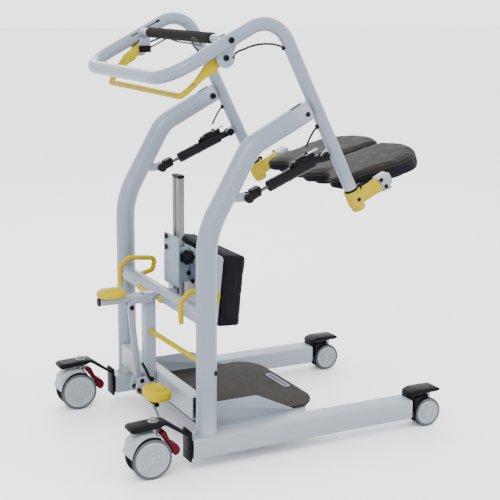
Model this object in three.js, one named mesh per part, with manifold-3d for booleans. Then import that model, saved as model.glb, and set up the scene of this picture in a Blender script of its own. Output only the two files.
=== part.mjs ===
// Sit-to-stand patient lift, millimetres, +Z up.
// X runs from the carer's end (-) to the patient's end (+), Y across the lift, Z = 0 is the floor, and the
// origin is the middle of the footprint. The near side is at -Y; the far side is its mirror image.
// The seat arms hang on two pivots at the tops of the uprights, and two gas springs hold them.

import * as THREE from 'three';
import { mergeVertices } from 'three/addons/utils/BufferGeometryUtils.js';
import Module from 'manifold-3d';

const wasm = await Module();
wasm.setup();

// ---------------------------------------------------------------- driving dimensions

const HALF_TRACK = 260; // centre plane of each leg, upright and lift arm
const GAP = 0.4; // clearance between pieces that touch
const FIT = 0.6; // radial clearance of a pin or shaft in its hole

const LEG = { rear: -281, front: 346, bottom: 30, width: 60, height: 50, wall: 3 };
const LEG_TOP = LEG.bottom + LEG.height;

const UPRIGHT = { x: -235, radius: 25, wall: 3, lowBend: [-235, 572], highBend: [-123, 768] };
const PIVOT = [15, 840]; // lift pivot: x, z
const PIVOT_PIN_RADIUS = 6;
const PIVOT_LUG = { thickness: 12, eye: 17 };

const ARM = { radius: 16, wall: 2.5, top: [-61, 1073], foot: [169, 622], bendRadius: 70 };
const HANDLE = { frontX: -336, splitX: -240, rise: 0.527, cornerRadius: 75 };
const GRIP = { x: -186, z: 1014, barRadius: 10, foamRadius: 13.5, foamHalf: 190 };
const BAIL = { pivot: [-188, 973], barX: -284, barZ: 886, halfWidth: 230, rodRadius: 7, eye: 14.5 };

const GAS_SPRING = { lower: [-128, 649], boreRadius: 11.5, radius: 14, rodRadius: 4.5, pin: 4 };
const GAS_UPPER = { along: 143, behind: 30 }; // from the arm's foot, up the tube and behind it

const SEAT = { pitch: 14, top: 42, thickness: 46, taper: 0.065, taperFrom: 280, board: 8 };
const SEAT_HINGE = { pitch: 27, radius: 18, pinRadius: 8, start: 30, length: 42, blockLength: 34 };

const CROSS_TUBE = { x: -235, z: 364, radius: 20, wall: 3 };
const POST = { x: -276, width: 30, bottom: 122, top: 376 };
const BEAM = { x: -246, depth: 30, bottom: 108, height: 60, wall: 3 };
const MAST = { x: -192, depth: 16, width: 40, bottom: 352, top: 662 };
const KNEE_PAD = { width: 310, height: 181, thickness: 60, corner: 10, x: -114, z: 394, tilt: 5.6, board: 8 };

const TRAY = { rear: -228, front: 119, floor: 72, sheet: 4, cheekY: 200, cheekTop: 131 };
const MAT = { thickness: 8, halfWidth: 195, cornerRun: 62, frontHalf: 122, slotHalf: 56, slotInset: 18 };

const STRAP_HOOK = { y: 200, radius: 6.5 };
const KNOB = { x: -187, z: 466, stem: 4 };
const PEDAL = {
  leverPivot: [-276, 363], armPivot: [-278, 150], linkTop: [-326, 342], linkBottom: [-304, 149],
  shaft: [-312, 124], pin: 5,
};

const REAR_CASTOR = {
  stemX: -373, trail: -13, wheelRadius: 50, wheelWidth: 20, web: 11, hoodRadius: 63, hoodTop: 112,
  hoodFront: -374, pedalPin: [-342, 98],
};
const FRONT_CASTOR = {
  stemX: 411, trail: -12, wheelRadius: 38.8, wheelWidth: 18, web: 10, hoodRadius: 56, hoodTop: 84,
  hoodFront: 404,
};

const ROUND = 12; // sides of the large round sections
const SMALL = 8; // sides of the small ones

// ---------------------------------------------------------------- solids

function toSolid(geometry) {
  const plain = geometry.index ? geometry.toNonIndexed() : geometry.clone();
  plain.deleteAttribute('normal');
  plain.deleteAttribute('uv');
  const merged = mergeVertices(plain, 1e-4);
  const vertProperties = new Float32Array(merged.attributes.position.array);
  const triVerts = new Uint32Array(merged.index.array);
  return new wasm.Manifold(new wasm.Mesh({ numProp: 3, vertProperties, triVerts }));
}

function toGeometry(solid) {
  const mesh = solid.getMesh();
  const geometry = new THREE.BufferGeometry();
  geometry.setAttribute('position', new THREE.BufferAttribute(new Float32Array(mesh.vertProperties), 3));
  geometry.setIndex(new THREE.BufferAttribute(new Uint32Array(mesh.triVerts), 1));
  geometry.computeVertexNormals();
  return geometry;
}

function join(...parts) {
  return toGeometry(parts.map(toSolid).reduce((whole, piece) => whole.add(piece)));
}

function cut(body, ...tools) {
  return toGeometry(tools.map(toSolid).reduce((whole, tool) => whole.subtract(tool), toSolid(body)));
}

function intersect(a, b) {
  return toGeometry(toSolid(a).intersect(toSolid(b)));
}

const box = (center, size) => new THREE.BoxGeometry(...size).translate(...center);

// A cylinder from one point to another.
function cylinder(from, to, radius, sides = SMALL) {
  const a = new THREE.Vector3(...from);
  const axis = new THREE.Vector3(...to).sub(a);
  const turn = new THREE.Quaternion().setFromUnitVectors(
    new THREE.Vector3(0, 1, 0),
    axis.clone().normalize(),
  );
  const middle = a.addScaledVector(axis, 0.5);
  return new THREE.CylinderGeometry(radius, radius, axis.length(), sides)
    .applyQuaternion(turn)
    .translate(middle.x, middle.y, middle.z);
}

// A cylinder along Y, centred on (x, y, z).
const crossPin = ([x, z], y, length, radius, sides = SMALL) =>
  cylinder([x, y - length / 2, z], [x, y + length / 2, z], radius, sides);

// A flat plate: an outline in X and Z, extruded along Y about the plane y.
function sidePlate(outline, y, thickness, holes = []) {
  const shape = new THREE.Shape(outline.map(([x, z]) => new THREE.Vector2(x, z)));
  for (const [x, z, radius] of holes) shape.holes.push(new THREE.Path().absarc(x, z, radius, 0, Math.PI * 2));
  return new THREE.ExtrudeGeometry(shape, { depth: thickness, bevelEnabled: false, curveSegments: SMALL })
    .rotateX(Math.PI / 2)
    .translate(0, y + thickness / 2, 0);
}

// Points round part of a circle in the side plane, turning from one angle in steps of equal size.
function arc([x, z], radius, from, sweepAngle, steps) {
  return Array.from({ length: steps + 1 }, (_, k) => {
    const turn = from + (sweepAngle * k) / steps;
    return [x + radius * Math.cos(turn), z + radius * Math.sin(turn)];
  });
}

// A flat sheet: an outline in X and Y, extruded up from z.
function sheet(outline, z, thickness, holes = []) {
  const shape = new THREE.Shape(outline.map(([x, y]) => new THREE.Vector2(x, y)));
  for (const hole of holes) shape.holes.push(new THREE.Path(hole.map(([x, y]) => new THREE.Vector2(x, y))));
  return new THREE.ExtrudeGeometry(shape, { depth: thickness, bevelEnabled: false }).translate(0, 0, z);
}

const circle = (radius) => new THREE.Shape().absarc(0, 0, radius, 0, Math.PI * 2);

function pipe(radius, wall) {
  const section = circle(radius);
  section.holes.push(new THREE.Path().absarc(0, 0, radius - wall, 0, Math.PI * 2));
  return section;
}

// A curve through stations, with one section at each station.
class StationCurve extends THREE.Curve {
  constructor(stations) {
    super();
    this.stations = stations;
  }

  getPoint(t, target = new THREE.Vector3()) {
    const last = this.stations.length - 1;
    const place = Math.min(Math.max(t, 0), 1) * last;
    const i = Math.min(Math.floor(place), last - 1);
    return target.lerpVectors(this.stations[i], this.stations[i + 1], place - i);
  }

  getPointAt(u, target) {
    return this.getPoint(u, target);
  }

  getTangentAt(u, target) {
    return this.getTangent(u, target);
  }
}

// The corners of a bent tube, rounded: straight runs with an arc of stations at each corner.
function bent(corners, radius, arcSteps = 5) {
  const points = corners.map((p) => new THREE.Vector3(...p));
  const stations = [points[0]];
  for (let i = 1; i < points.length - 1; i += 1) {
    const back = points[i - 1].clone().sub(points[i]).normalize();
    const on = points[i + 1].clone().sub(points[i]).normalize();
    const half = back.angleTo(on) / 2;
    const bendRadius = Array.isArray(radius) ? radius[i - 1] : radius;
    const inward = back.clone().add(on).normalize();
    const centre = points[i].clone().addScaledVector(inward, bendRadius / Math.sin(half));
    const start = points[i].clone().addScaledVector(back, bendRadius / Math.tan(half));
    const arm = start.clone().sub(centre);
    const axis = back.clone().cross(on).normalize();
    for (let k = 0; k <= arcSteps; k += 1) {
      const turn = (-(Math.PI - 2 * half) * k) / arcSteps;
      stations.push(arm.clone().applyAxisAngle(axis, turn).add(centre));
    }
  }
  stations.push(points[points.length - 1]);
  return stations;
}

function sweep(section, stations, sides = ROUND) {
  return new THREE.ExtrudeGeometry(section, {
    steps: stations.length - 1,
    curveSegments: Math.round(sides / 2),
    bevelEnabled: false,
    extrudePath: new StationCurve(stations),
  });
}

// ---------------------------------------------------------------- directions on the lift

const flat = (x, z) => new THREE.Vector2(x, z);
const armFoot = flat(...ARM.foot);
const armTop = flat(...ARM.top);
const armUp = armTop.clone().sub(armFoot).normalize();
const armBack = flat(-armUp.y, armUp.x); // from the tube towards the carer

// A point in the side plane of the lift, up the arm from its foot and behind it.
function onArm(along, behind = 0) {
  const p = armFoot.clone().addScaledVector(armUp, along).addScaledVector(armBack, behind);
  return [p.x, p.y];
}

// The height of the handle's centre line at x.
const handleZ = (x) => ARM.top[1] - (ARM.top[0] - x) * HANDLE.rise;

const GAS_TOP_PIN = onArm(GAS_UPPER.along, GAS_UPPER.behind);
// From the arm's pin to the upright's pin.
const gasAxis = flat(...GAS_SPRING.lower).sub(flat(...GAS_TOP_PIN)).normalize();
const gasUp = flat(gasAxis.y, -gasAxis.x);

// A point on the gas spring, down its length from the arm's pin and above its centre line.
function onGas(along, above = 0) {
  const p = flat(...GAS_TOP_PIN).addScaledVector(gasAxis, along).addScaledVector(gasUp, above);
  return [p.x, p.y];
}

const hingeAngle = THREE.MathUtils.degToRad(SEAT_HINGE.pitch);
const hingeDirection = flat(Math.cos(hingeAngle), Math.sin(hingeAngle));
const onHinge = (along) => [
  ARM.foot[0] + hingeDirection.x * along,
  ARM.foot[1] + hingeDirection.y * along,
];

const at = ([x, z], y) => [x, y, z];

// ---------------------------------------------------------------- materials

const finish = (color, roughness, metalness) =>
  new THREE.MeshStandardMaterial({ color, roughness, metalness });
const MATERIALS = {
  frame: finish('#b9c3d2', 0.45, 0.1),
  black: finish('#202024', 0.5, 0),
  yellow: finish('#f2cf1c', 0.45, 0),
  seat: finish('#57524c', 0.8, 0),
  foam: finish('#3c383a', 0.9, 0),
  mat: finish('#555046', 0.9, 0),
  zinc: finish('#b4b8bc', 0.35, 0.8),
  aluminium: finish('#a9a9ab', 0.4, 0.8),
  hood: finish('#c6cbd2', 0.5, 0),
  tyre: finish('#4d525c', 0.8, 0),
  crimson: finish('#8c1230', 0.5, 0),
  kneePad: finish('#232124', 0.6, 0),
  light: finish('#d3d7da', 0.5, 0),
};

// ---------------------------------------------------------------- base

const Y = -HALF_TRACK; // every paired piece is drawn on the near side

function leg() {
  const outside = box([(LEG.rear + LEG.front) / 2, Y, LEG.bottom + LEG.height / 2],
    [LEG.front - LEG.rear, LEG.width, LEG.height]);
  const inside = box([(LEG.rear + LEG.front) / 2, Y, LEG.bottom + LEG.height / 2],
    [LEG.front - LEG.rear + 10, LEG.width - 2 * LEG.wall, LEG.height - 2 * LEG.wall]);
  return cut(outside, inside);
}

// The upright stands on the leg, leans forward in two bends, and ends in a fork that holds the arm's lug.
// A lug for the gas spring is welded on its front.
function upright() {
  const end = flat(...PIVOT);
  const lean = end.clone().sub(flat(...UPRIGHT.highBend)).normalize();
  const forkEnd = end.clone().addScaledVector(lean, 12);
  const corners = [
    [UPRIGHT.x, Y, LEG_TOP + GAP],
    at(UPRIGHT.lowBend, Y),
    at(UPRIGHT.highBend, Y),
    at([forkEnd.x, forkEnd.y], Y),
  ];
  const tube = sweep(pipe(UPRIGHT.radius, UPRIGHT.wall), bent(corners, [200, 90]));
  const slotRoot = end.clone().addScaledVector(lean, -(PIVOT_LUG.eye + 12));
  const slotEnd = end.clone().addScaledVector(lean, 30);
  const across = flat(-lean.y, lean.x).multiplyScalar(UPRIGHT.radius + 8);
  const slot = sidePlate(
    [
      [slotRoot.x - across.x, slotRoot.y - across.y],
      [slotEnd.x - across.x, slotEnd.y - across.y],
      [slotEnd.x + across.x, slotEnd.y + across.y],
      [slotRoot.x + across.x, slotRoot.y + across.y],
    ],
    Y,
    PIVOT_LUG.thickness + 4,
  );
  const pinHole = crossPin(PIVOT, Y, 80, PIVOT_PIN_RADIUS + FIT, 16);
  const lug = gasLug(GAS_SPRING.lower, [-172, 664], [-182, 640]);
  const bore = sweep(circle(UPRIGHT.radius - UPRIGHT.wall), bent(corners, [200, 90]));
  return join(cut(tube, slot, pinHole), cut(lug, bore));
}

const pivotBolt = () => join(
  crossPin(PIVOT, Y, 58, PIVOT_PIN_RADIUS, 16),
  crossPin(PIVOT, Y - 30, 7, 10, 6),
  crossPin(PIVOT, Y + 30, 7, 10, 6),
);

// A lug plate with a pin through its eye, from a tube out to a gas spring's end.
function gasLug([x, z], above, below) {
  const start = Math.atan2(above[1] - z, above[0] - x) - Math.PI / 2;
  const plate = sidePlate([above, ...arc([x, z], 10, start, -Math.PI, 8), below], Y, 8);
  return join(plate, crossPin([x, z], Y, 30, GAS_SPRING.pin));
}

function castorBracket(outline, halfWidth, castor) {
  const body = sidePlate(outline, Y, 2 * halfWidth);
  const top = Math.max(...outline.map(([, z]) => z));
  const stem = cylinder([castor.stemX, Y, castor.hoodTop - 24], [castor.stemX, Y, top + 4], 6, 12);
  const nut = cylinder([castor.stemX, Y, top - 3], [castor.stemX, Y, top + 6], 9, 6);
  return join(body, stem, nut);
}

const REAR_BRACKET = [
  [LEG.rear - GAP, 22], [LEG.rear - GAP, 99], [-344, 132], [-360, 135], [-430, 132], [-437.5, 127],
  [-437, 120], [-428, 118], [-362, 122], [-349, 123], [-288, 92], [-288, 22],
];
const FRONT_BRACKET = [
  [LEG.front + GAP, 32], [352, 32], [352, 88], [362, 92], [430, 92], [436.5, 95], [436.5, 99], [428, 103],
  [364, 104], [LEG.front + GAP, 97],
];

// A hood that covers twin wheels: a dome about the swivel axis, hollowed for the wheels on both sides. The
// rear hoods carry a pin for the brake pedal.
function castorHood(castor) {
  const { stemX, trail, wheelRadius, wheelWidth, web, hoodRadius, hoodTop, hoodFront, pedalPin } = castor;
  const profile = [
    [0, 22], [hoodRadius, 22], [hoodRadius, hoodTop - 36], [hoodRadius - 6, hoodTop - 16],
    [hoodRadius - 18, hoodTop - 4], [hoodRadius - 32, hoodTop], [0, hoodTop],
  ].map(([r, z]) => new THREE.Vector2(r, z));
  const dome = new THREE.LatheGeometry(profile, 18).rotateX(Math.PI / 2).translate(stemX, Y, 0);
  const rear = stemX - hoodRadius - 2;
  const shell = (front, width) => {
    const outline = [
      [rear, wheelRadius * 0.55], [stemX + trail, wheelRadius * 0.55], [front, wheelRadius * 1.3],
      [front, hoodTop + 5], [rear, hoodTop + 5],
    ];
    return sidePlate(outline, Y, width);
  };
  const blank = join(
    shell(hoodFront, 2 * (web + wheelWidth)),
    shell(Math.max(hoodFront, stemX + trail + wheelRadius), 2 * web - 1),
  );
  const room = (side) =>
    crossPin([stemX + trail, wheelRadius], Y + side * (web + 25), 50, wheelRadius + 2.5, 24);
  const axleHole = crossPin([stemX + trail, wheelRadius], Y, 2 * web + 4, 6 + FIT, 12);
  const stemHole = cylinder([stemX, Y, hoodTop - 26], [stemX, Y, hoodTop + 10], 6 + FIT, 12);
  const hood = cut(intersect(dome, blank), room(-1), room(1), axleHole, stemHole);
  return pedalPin ? join(hood, crossPin(pedalPin, Y, 33, 3)) : hood;
}

// Two discs with rounded tyres on one axle.
function castorWheels({ stemX, trail, wheelRadius, wheelWidth, web }) {
  const axle = [stemX + trail, wheelRadius];
  const inner = web + 1;
  const outer = web + wheelWidth;
  const profile = [
    [0, inner], [wheelRadius - 3, inner], [wheelRadius, inner + 3], [wheelRadius, outer - 5],
    [wheelRadius - 5, outer], [0, outer],
  ].map(([r, y]) => new THREE.Vector2(r, y));
  const disc = new THREE.LatheGeometry(profile, 20);
  const placed = (geometry) => geometry.translate(axle[0], Y, axle[1]);
  const left = placed(disc.clone().rotateX(Math.PI));
  const right = placed(disc.clone());
  return join(left, right, crossPin(axle, Y, 2 * web + 6, 6));
}

// A bent toe lever hung on the front of the rear castor's hood.
function brakePedal() {
  const outline = [
    [-360, 103], [-359, 113], [-346, 113], [-340, 94], [-330, 83], [-318, 79], [-311, 67], [-315, 55],
    [-325, 51], [-334, 60], [-340, 74], [-352, 92],
  ];
  const [x, z] = REAR_CASTOR.pedalPin;
  const lugSpace = box([x - 6, Y, z - 4], [32, 2 * REAR_CASTOR.web + 1, 66]);
  const axle = [REAR_CASTOR.stemX + REAR_CASTOR.trail, REAR_CASTOR.wheelRadius];
  const wheelSpace = crossPin(axle, Y, 50, REAR_CASTOR.wheelRadius + 7, 24);
  return cut(sidePlate(outline, Y, 34), lugSpace, wheelSpace, crossPin([x, z], Y, 50, 3 + GAP, 10));
}

// ---------------------------------------------------------------- lift arm, one side

// The arm tube with its pivot lug, gas spring lug and bail plate welded on, and the two holes that the
// release cable passes through.
function armTube() {
  const corners = [
    at(onArm(8), Y),
    at(ARM.top, Y),
    [HANDLE.splitX, Y, handleZ(HANDLE.splitX)],
  ];
  const stations = bent(corners, ARM.bendRadius, 8);
  const tube = sweep(pipe(ARM.radius, ARM.wall), stations);
  const bore = sweep(circle(ARM.radius - ARM.wall), stations);

  const behind = Math.atan2(armBack.y, armBack.x) - Math.PI / 2;
  const lug = (along, reach, eye, radius) =>
    [onArm(along + reach, 8), ...arc(eye, radius, behind, Math.PI, 10), onArm(along - reach, 8)].reverse();
  const pivotLug = sidePlate(
    lug(armUp.dot(flat(...PIVOT).sub(armFoot)), 24, PIVOT, PIVOT_LUG.eye),
    Y,
    PIVOT_LUG.thickness,
    [[...PIVOT, PIVOT_PIN_RADIUS + FIT]],
  );
  const gasPlate = join(
    sidePlate(lug(GAS_UPPER.along, 14, GAS_TOP_PIN, 9), Y, 8),
    crossPin(GAS_TOP_PIN, Y, 30, GAS_SPRING.pin),
  );

  const [bx] = BAIL.pivot;
  const lobe = arc(BAIL.pivot, 23, Math.PI * 0.85, Math.PI * 1.3, 12);
  const bailPlate = join(
    sidePlate([[bx + 30, handleZ(bx + 30) - 8], [bx - 18, handleZ(bx - 18) - 8], ...lobe], Y, 6),
    crossPin(BAIL.pivot, Y + 6, 20, 5),
    crossPin(BAIL.pivot, Y - 5, 6, 9, 6),
  );
  const holes = CABLE_HOLES.map(([from, to]) => cylinder(at(from, Y), at(to, Y), 5, 10));
  return cut(join(tube, cut(join(pivotLug, gasPlate, bailPlate), bore)), ...holes);
}

// Where the release cable goes into the arm tube under the bend and comes out below the pivot.
const CABLE_HOLES = [
  [[-50, 1000], [-16, 983]],
  [[46, 797], [68, 826]],
];
const CABLE_RADIUS = 2.5;

function releaseCable() {
  const route = [
    [-162, 964], [-161, 974], [-154, 983], [-141, 990], [-124, 997], [-104, 1002], [-82, 1003], [-60, 1001],
    [-42, 995], [-26, 985], [-14, 970], [-5, 953], [4, 936], [22, 901], [40, 866], [54, 840], [60, 822],
    [56, 808], [46, 796], [37, 782], [30, 768], [25, 759],
  ];
  const stations = route.map((p) => new THREE.Vector3(...at(p, Y)));
  const curve = new THREE.CatmullRomCurve3(stations, false, 'centripetal');
  return new THREE.ExtrudeGeometry(circle(CABLE_RADIUS), {
    steps: 28,
    curveSegments: 4,
    bevelEnabled: false,
    extrudePath: curve,
  });
}

// The seat hinge casting: a socket on the arm's foot, a sleeve along the hinge and a round boss below.
function seatCasting() {
  const sleeveEnd = SEAT_HINGE.start + SEAT_HINGE.length;
  const body = join(
    cylinder(at(onArm(-14), Y), at(onArm(26), Y), 20.5, ROUND),
    cylinder(at(onHinge(0), Y), at(onHinge(sleeveEnd), Y), SEAT_HINGE.radius, ROUND),
    cylinder(at(onArm(-29), Y), at(onArm(-10), Y), 18, ROUND),
  );
  const socket = cylinder(at(onArm(8 - GAP), Y), at(onArm(60), Y), ARM.radius + GAP, ROUND);
  const pinBore = cylinder(
    at(onHinge(SEAT_HINGE.start - 6), Y),
    at(onHinge(sleeveEnd + 10), Y),
    SEAT_HINGE.pinRadius + FIT,
    16,
  );
  return cut(body, socket, pinBore);
}

// ---------------------------------------------------------------- gas spring, one side

function gasCylinder() {
  const barrel = join(
    cylinder(at(onGas(30), Y), at(onGas(166), Y), GAS_SPRING.radius, ROUND),
    cylinder(at(onGas(8), Y), at(onGas(32), Y), 10, ROUND),
    box([0, 0, 0], [1, 1, 1]).applyMatrix4(
      new THREE.Matrix4().makeBasis(
        new THREE.Vector3(gasAxis.x * 62, 0, gasAxis.y * 62),
        new THREE.Vector3(0, 18, 0),
        new THREE.Vector3(-gasUp.x * 16, 0, -gasUp.y * 16),
      ).setPosition(new THREE.Vector3(...at(onGas(57, ROUND), Y))),
    ),
    crossPin(GAS_TOP_PIN, Y, 24, 11, ROUND),
  );
  const bore = cylinder(at(onGas(44), Y), at(onGas(170), Y), GAS_SPRING.boreRadius, ROUND);
  const forkSlot = crossPin(GAS_TOP_PIN, Y, 10, 24, ROUND);
  const pinHole = crossPin(GAS_TOP_PIN, Y, 40, GAS_SPRING.pin + FIT);
  return cut(barrel, bore, forkSlot, pinHole);
}

function gasRod() {
  const length = flat(...GAS_TOP_PIN).distanceTo(flat(...GAS_SPRING.lower));
  const rod = join(
    cylinder(at(onGas(90), Y), at(onGas(length - 12), Y), GAS_SPRING.rodRadius),
    cylinder(at(onGas(length - 30), Y), at(onGas(length - 4), Y), 12, ROUND),
    crossPin(GAS_SPRING.lower, Y, 26, 13, ROUND),
  );
  const forkSlot = crossPin(GAS_SPRING.lower, Y, 10, 18, ROUND);
  const pinHole = crossPin(GAS_SPRING.lower, Y, 40, GAS_SPRING.pin + FIT);
  return cut(rod, forkSlot, pinHole);
}

// ---------------------------------------------------------------- seat, one side

// Half of the seat in plan: along is measured up the seat's slope from the hinge, out from the middle.
const SEAT_OUTLINE = [
  [15, 5], [-4, 16], [-10, 42], [-2, 68], [14, 88], [19, 106], [12, 126], [-2, 148], [-4, 172], [10, 192],
  [45, 203], [90, 208], [130, 214], [168, 220], [202, 216], [233, 197], [258, 163], [273, 120], [276, 70],
  [264, 24], [240, 6], [180, 4],
].map(([along, out]) => new THREE.Vector2(along, -out));

const seatFrame = new THREE.Matrix4()
  .makeRotationY(-THREE.MathUtils.degToRad(SEAT.pitch))
  .setPosition(ARM.foot[0], 0, ARM.foot[1]);

// The cushion is a wedge: its underside rises towards the carer's end.
const seatUnderside = (along) => SEAT.top - SEAT.thickness + SEAT.taper * Math.max(0, SEAT.taperFrom - along);

function seatPad() {
  const outline = new THREE.SplineCurve([...SEAT_OUTLINE, SEAT_OUTLINE[0]]).getPoints(60).slice(0, -1);
  const pad = new THREE.ExtrudeGeometry(new THREE.Shape(outline), { depth: 1, bevelEnabled: false });
  const position = pad.attributes.position;
  for (let i = 0; i < position.count; i += 1) {
    position.setZ(i, position.getZ(i) > 0.5 ? SEAT.top : seatUnderside(position.getX(i)));
  }
  return pad.applyMatrix4(seatFrame);
}

// The bracket turns on the hinge pin and carries the cushion on its flat board.
function seatBracket() {
  const from = SEAT_HINGE.start + SEAT_HINGE.length + 1;
  const to = from + SEAT_HINGE.blockLength;
  const block = join(
    cylinder(at(onHinge(from), Y), at(onHinge(to), Y), 17, ROUND),
    cylinder(at(onHinge(SEAT_HINGE.start), Y), at(onHinge(from + 4), Y), SEAT_HINGE.pinRadius, ROUND),
  );
  const middle = new THREE.Vector2(110, -110);
  const boardOutline = SEAT_OUTLINE.map((p) => p.clone().lerp(middle, 0.2));
  const board = new THREE.ExtrudeGeometry(new THREE.Shape(boardOutline), { depth: 1, bevelEnabled: false });
  const position = board.attributes.position;
  for (let i = 0; i < position.count; i += 1) {
    const top = seatUnderside(position.getX(i)) - GAP;
    position.setZ(i, position.getZ(i) > 0.5 ? top : top - SEAT.board);
  }
  board.applyMatrix4(seatFrame);
  const arm = join(
    box([97, -211, -1], [32, 102, 9]),
    box([97, -252, 7], [32, 20, 25]),
  ).applyMatrix4(seatFrame);
  return join(block, board, arm);
}

// ---------------------------------------------------------------- cross pieces of the base

function rearBeam() {
  const length = 2 * (HALF_TRACK - UPRIGHT.radius - GAP);
  const middle = [BEAM.x, 0, BEAM.bottom + BEAM.height / 2];
  return cut(
    box(middle, [BEAM.depth, length, BEAM.height]),
    box(middle, [BEAM.depth - 2 * BEAM.wall, length + 10, BEAM.height - 2 * BEAM.wall]),
  );
}

// A round bar straight across the lift, parallel to Y.
const crossBar = (x, z, halfLength, radius, sides = ROUND) =>
  cylinder([x, -halfLength, z], [x, halfLength, z], radius, sides);

// A block standing between two heights, centred on (x, 0).
const standing = (x, depth, width, bottom, top) =>
  box([x, 0, (bottom + top) / 2], [depth, width, top - bottom]);

// The space that an upright takes up, for pieces that butt against it.
function uprightSpace(side) {
  const y = side * HALF_TRACK;
  return cylinder([UPRIGHT.x, y, LEG_TOP], [UPRIGHT.x, y, 560], UPRIGHT.radius + GAP, 32);
}

const crossTubeSpace = (gap = GAP) =>
  crossBar(CROSS_TUBE.x, CROSS_TUBE.z, 250, CROSS_TUBE.radius + gap, 32);

// The tube between the uprights, with a guard strip along its back on each side of the centre post.
function crossTube() {
  const { x, z, radius, wall } = CROSS_TUBE;
  const outside = crossBar(x, z, 250, radius, 24);
  const inside = crossBar(x, z, 260, radius - wall, 16);
  const strips = [[17, 122], [-37, -17]].map(([from, to]) =>
    box([x - radius - 0.6, (from + to) / 2, z - 5], [8, to - from, 15]));
  return cut(join(outside, ...strips), inside, uprightSpace(-1), uprightSpace(1));
}

// A square post behind the beam and the cross tube, with a saddle against the tube and the pedal pivots.
function centrePost() {
  const half = POST.width / 2;
  const post = standing(POST.x, POST.width, POST.width, POST.bottom, POST.top);
  const saddle = box([POST.x + half + 4, 0, CROSS_TUBE.z], [10, POST.width, 22]);
  const leverPin = crossPin(PEDAL.leverPivot, 0, 46, PEDAL.pin);
  const lowerPin = crossPin(PEDAL.armPivot, 0, 46, PEDAL.pin);
  return join(cut(join(post, saddle), crossTubeSpace()), leverPin, lowerPin);
}

function mast() {
  const blade = standing(MAST.x, MAST.depth, MAST.width, MAST.bottom, MAST.top);
  const rib = box([MAST.x - 12, 0, CROSS_TUBE.z + 2], [26, 24, 28]);
  return join(blade, cut(rib, crossTubeSpace()));
}

const mastCap = () => box([MAST.x, 0, MAST.top + GAP + 4], [MAST.depth + 3, MAST.width + 3, 8]);

// A rod hook over the cross tube, for the calf strap.
function strapHook() {
  const y = -STRAP_HOOK.y;
  const [r, z] = [STRAP_HOOK.radius, CROSS_TUBE.z];
  const route = bent(
    [
      [CROSS_TUBE.x + 16, y, z + 6], [-182, y, z + 16], [-174, y, z + 48], [-250, y, z + 56],
      [-275, y, z + 34], [-274, y, z - 18],
    ],
    [8, 12, 16, 18],
    4,
  );
  return cut(sweep(circle(r), route, SMALL), crossTubeSpace());
}

function lowerBar() {
  const bar = cylinder([POST.x, 0, 276], [UPRIGHT.x, -HALF_TRACK, 249], 6.5, 12);
  const postSpace = box([POST.x, 0, 276], [POST.width + 2 * GAP, POST.width + 2 * GAP, 80]);
  return cut(bar, postSpace, uprightSpace(-1));
}

// ---------------------------------------------------------------- footplate

const mirrorY = (points) => [...points, ...points.slice().reverse().map(([x, y]) => [x, -y])];

function slotHole(length, width) {
  const centre = TRAY.front - MAT.slotInset;
  return [
    [centre - width / 2, -length], [centre + width / 2, -length],
    [centre + width / 2, length], [centre - width / 2, length],
  ];
}

// A tray between the legs, with a cheek along each side that slopes down towards the patient.
function tray() {
  const edge = HALF_TRACK - LEG.width / 2 - GAP;
  const outline = mirrorY([
    [TRAY.rear, -edge], [TRAY.front - 60, -edge], [TRAY.front - 44, -198], [TRAY.front - 14, -160],
    [TRAY.front, -126],
  ]);
  const floor = sheet(outline, TRAY.floor, TRAY.sheet, [slotHole(MAT.slotHalf, 13)]);
  const top = TRAY.floor + TRAY.sheet;
  const cheek = [
    [TRAY.rear, top - 1], [40, top - 1], [40, top + 2], [-75, TRAY.cheekTop], [TRAY.rear, TRAY.cheekTop],
  ];
  const cheeks = [-1, 1].map((side) => sidePlate(cheek, side * TRAY.cheekY, TRAY.sheet));
  return join(floor, ...cheeks);
}

function mat() {
  const bottom = TRAY.floor + TRAY.sheet + GAP;
  const front = TRAY.front + 5;
  const corner = [];
  for (let k = 0; k <= 5; k += 1) {
    const turn = (Math.PI / 2) * (k / 5);
    corner.push([
      front - MAT.cornerRun * (1 - Math.sin(turn)) - 6 * Math.cos(turn),
      -MAT.frontHalf - (MAT.halfWidth - MAT.frontHalf) * Math.cos(turn),
    ]);
  }
  const outline = mirrorY([[TRAY.rear + 2, -MAT.halfWidth], ...corner]);
  return sheet(outline, bottom, MAT.thickness, [slotHole(MAT.slotHalf, 13)]);
}

// ---------------------------------------------------------------- handle and release bail

function handleLoop() {
  const x = HANDLE.splitX - GAP;
  const front = HANDLE.frontX;
  const corners = [
    [x, -HALF_TRACK, handleZ(x)], [front, -HALF_TRACK, handleZ(front)],
    [front, HALF_TRACK, handleZ(front)], [x, HALF_TRACK, handleZ(x)],
  ];
  return sweep(pipe(ARM.radius, ARM.wall), bent(corners, HANDLE.cornerRadius, 7));
}

function gripBar() {
  const bar = cylinder([GRIP.x, -HALF_TRACK, GRIP.z], [GRIP.x, HALF_TRACK, GRIP.z], GRIP.barRadius, ROUND);
  const armSpace = (y) =>
    cylinder([-130, y, handleZ(-130)], [-235, y, handleZ(-235)], ARM.radius + GAP, 32);
  return cut(bar, armSpace(-HALF_TRACK), armSpace(HALF_TRACK));
}

function gripFoam() {
  const tube = crossBar(GRIP.x, GRIP.z, GRIP.foamHalf, GRIP.foamRadius);
  const bore = crossBar(GRIP.x, GRIP.z, 250, GRIP.barRadius + GAP);
  return cut(tube, bore);
}

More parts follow.
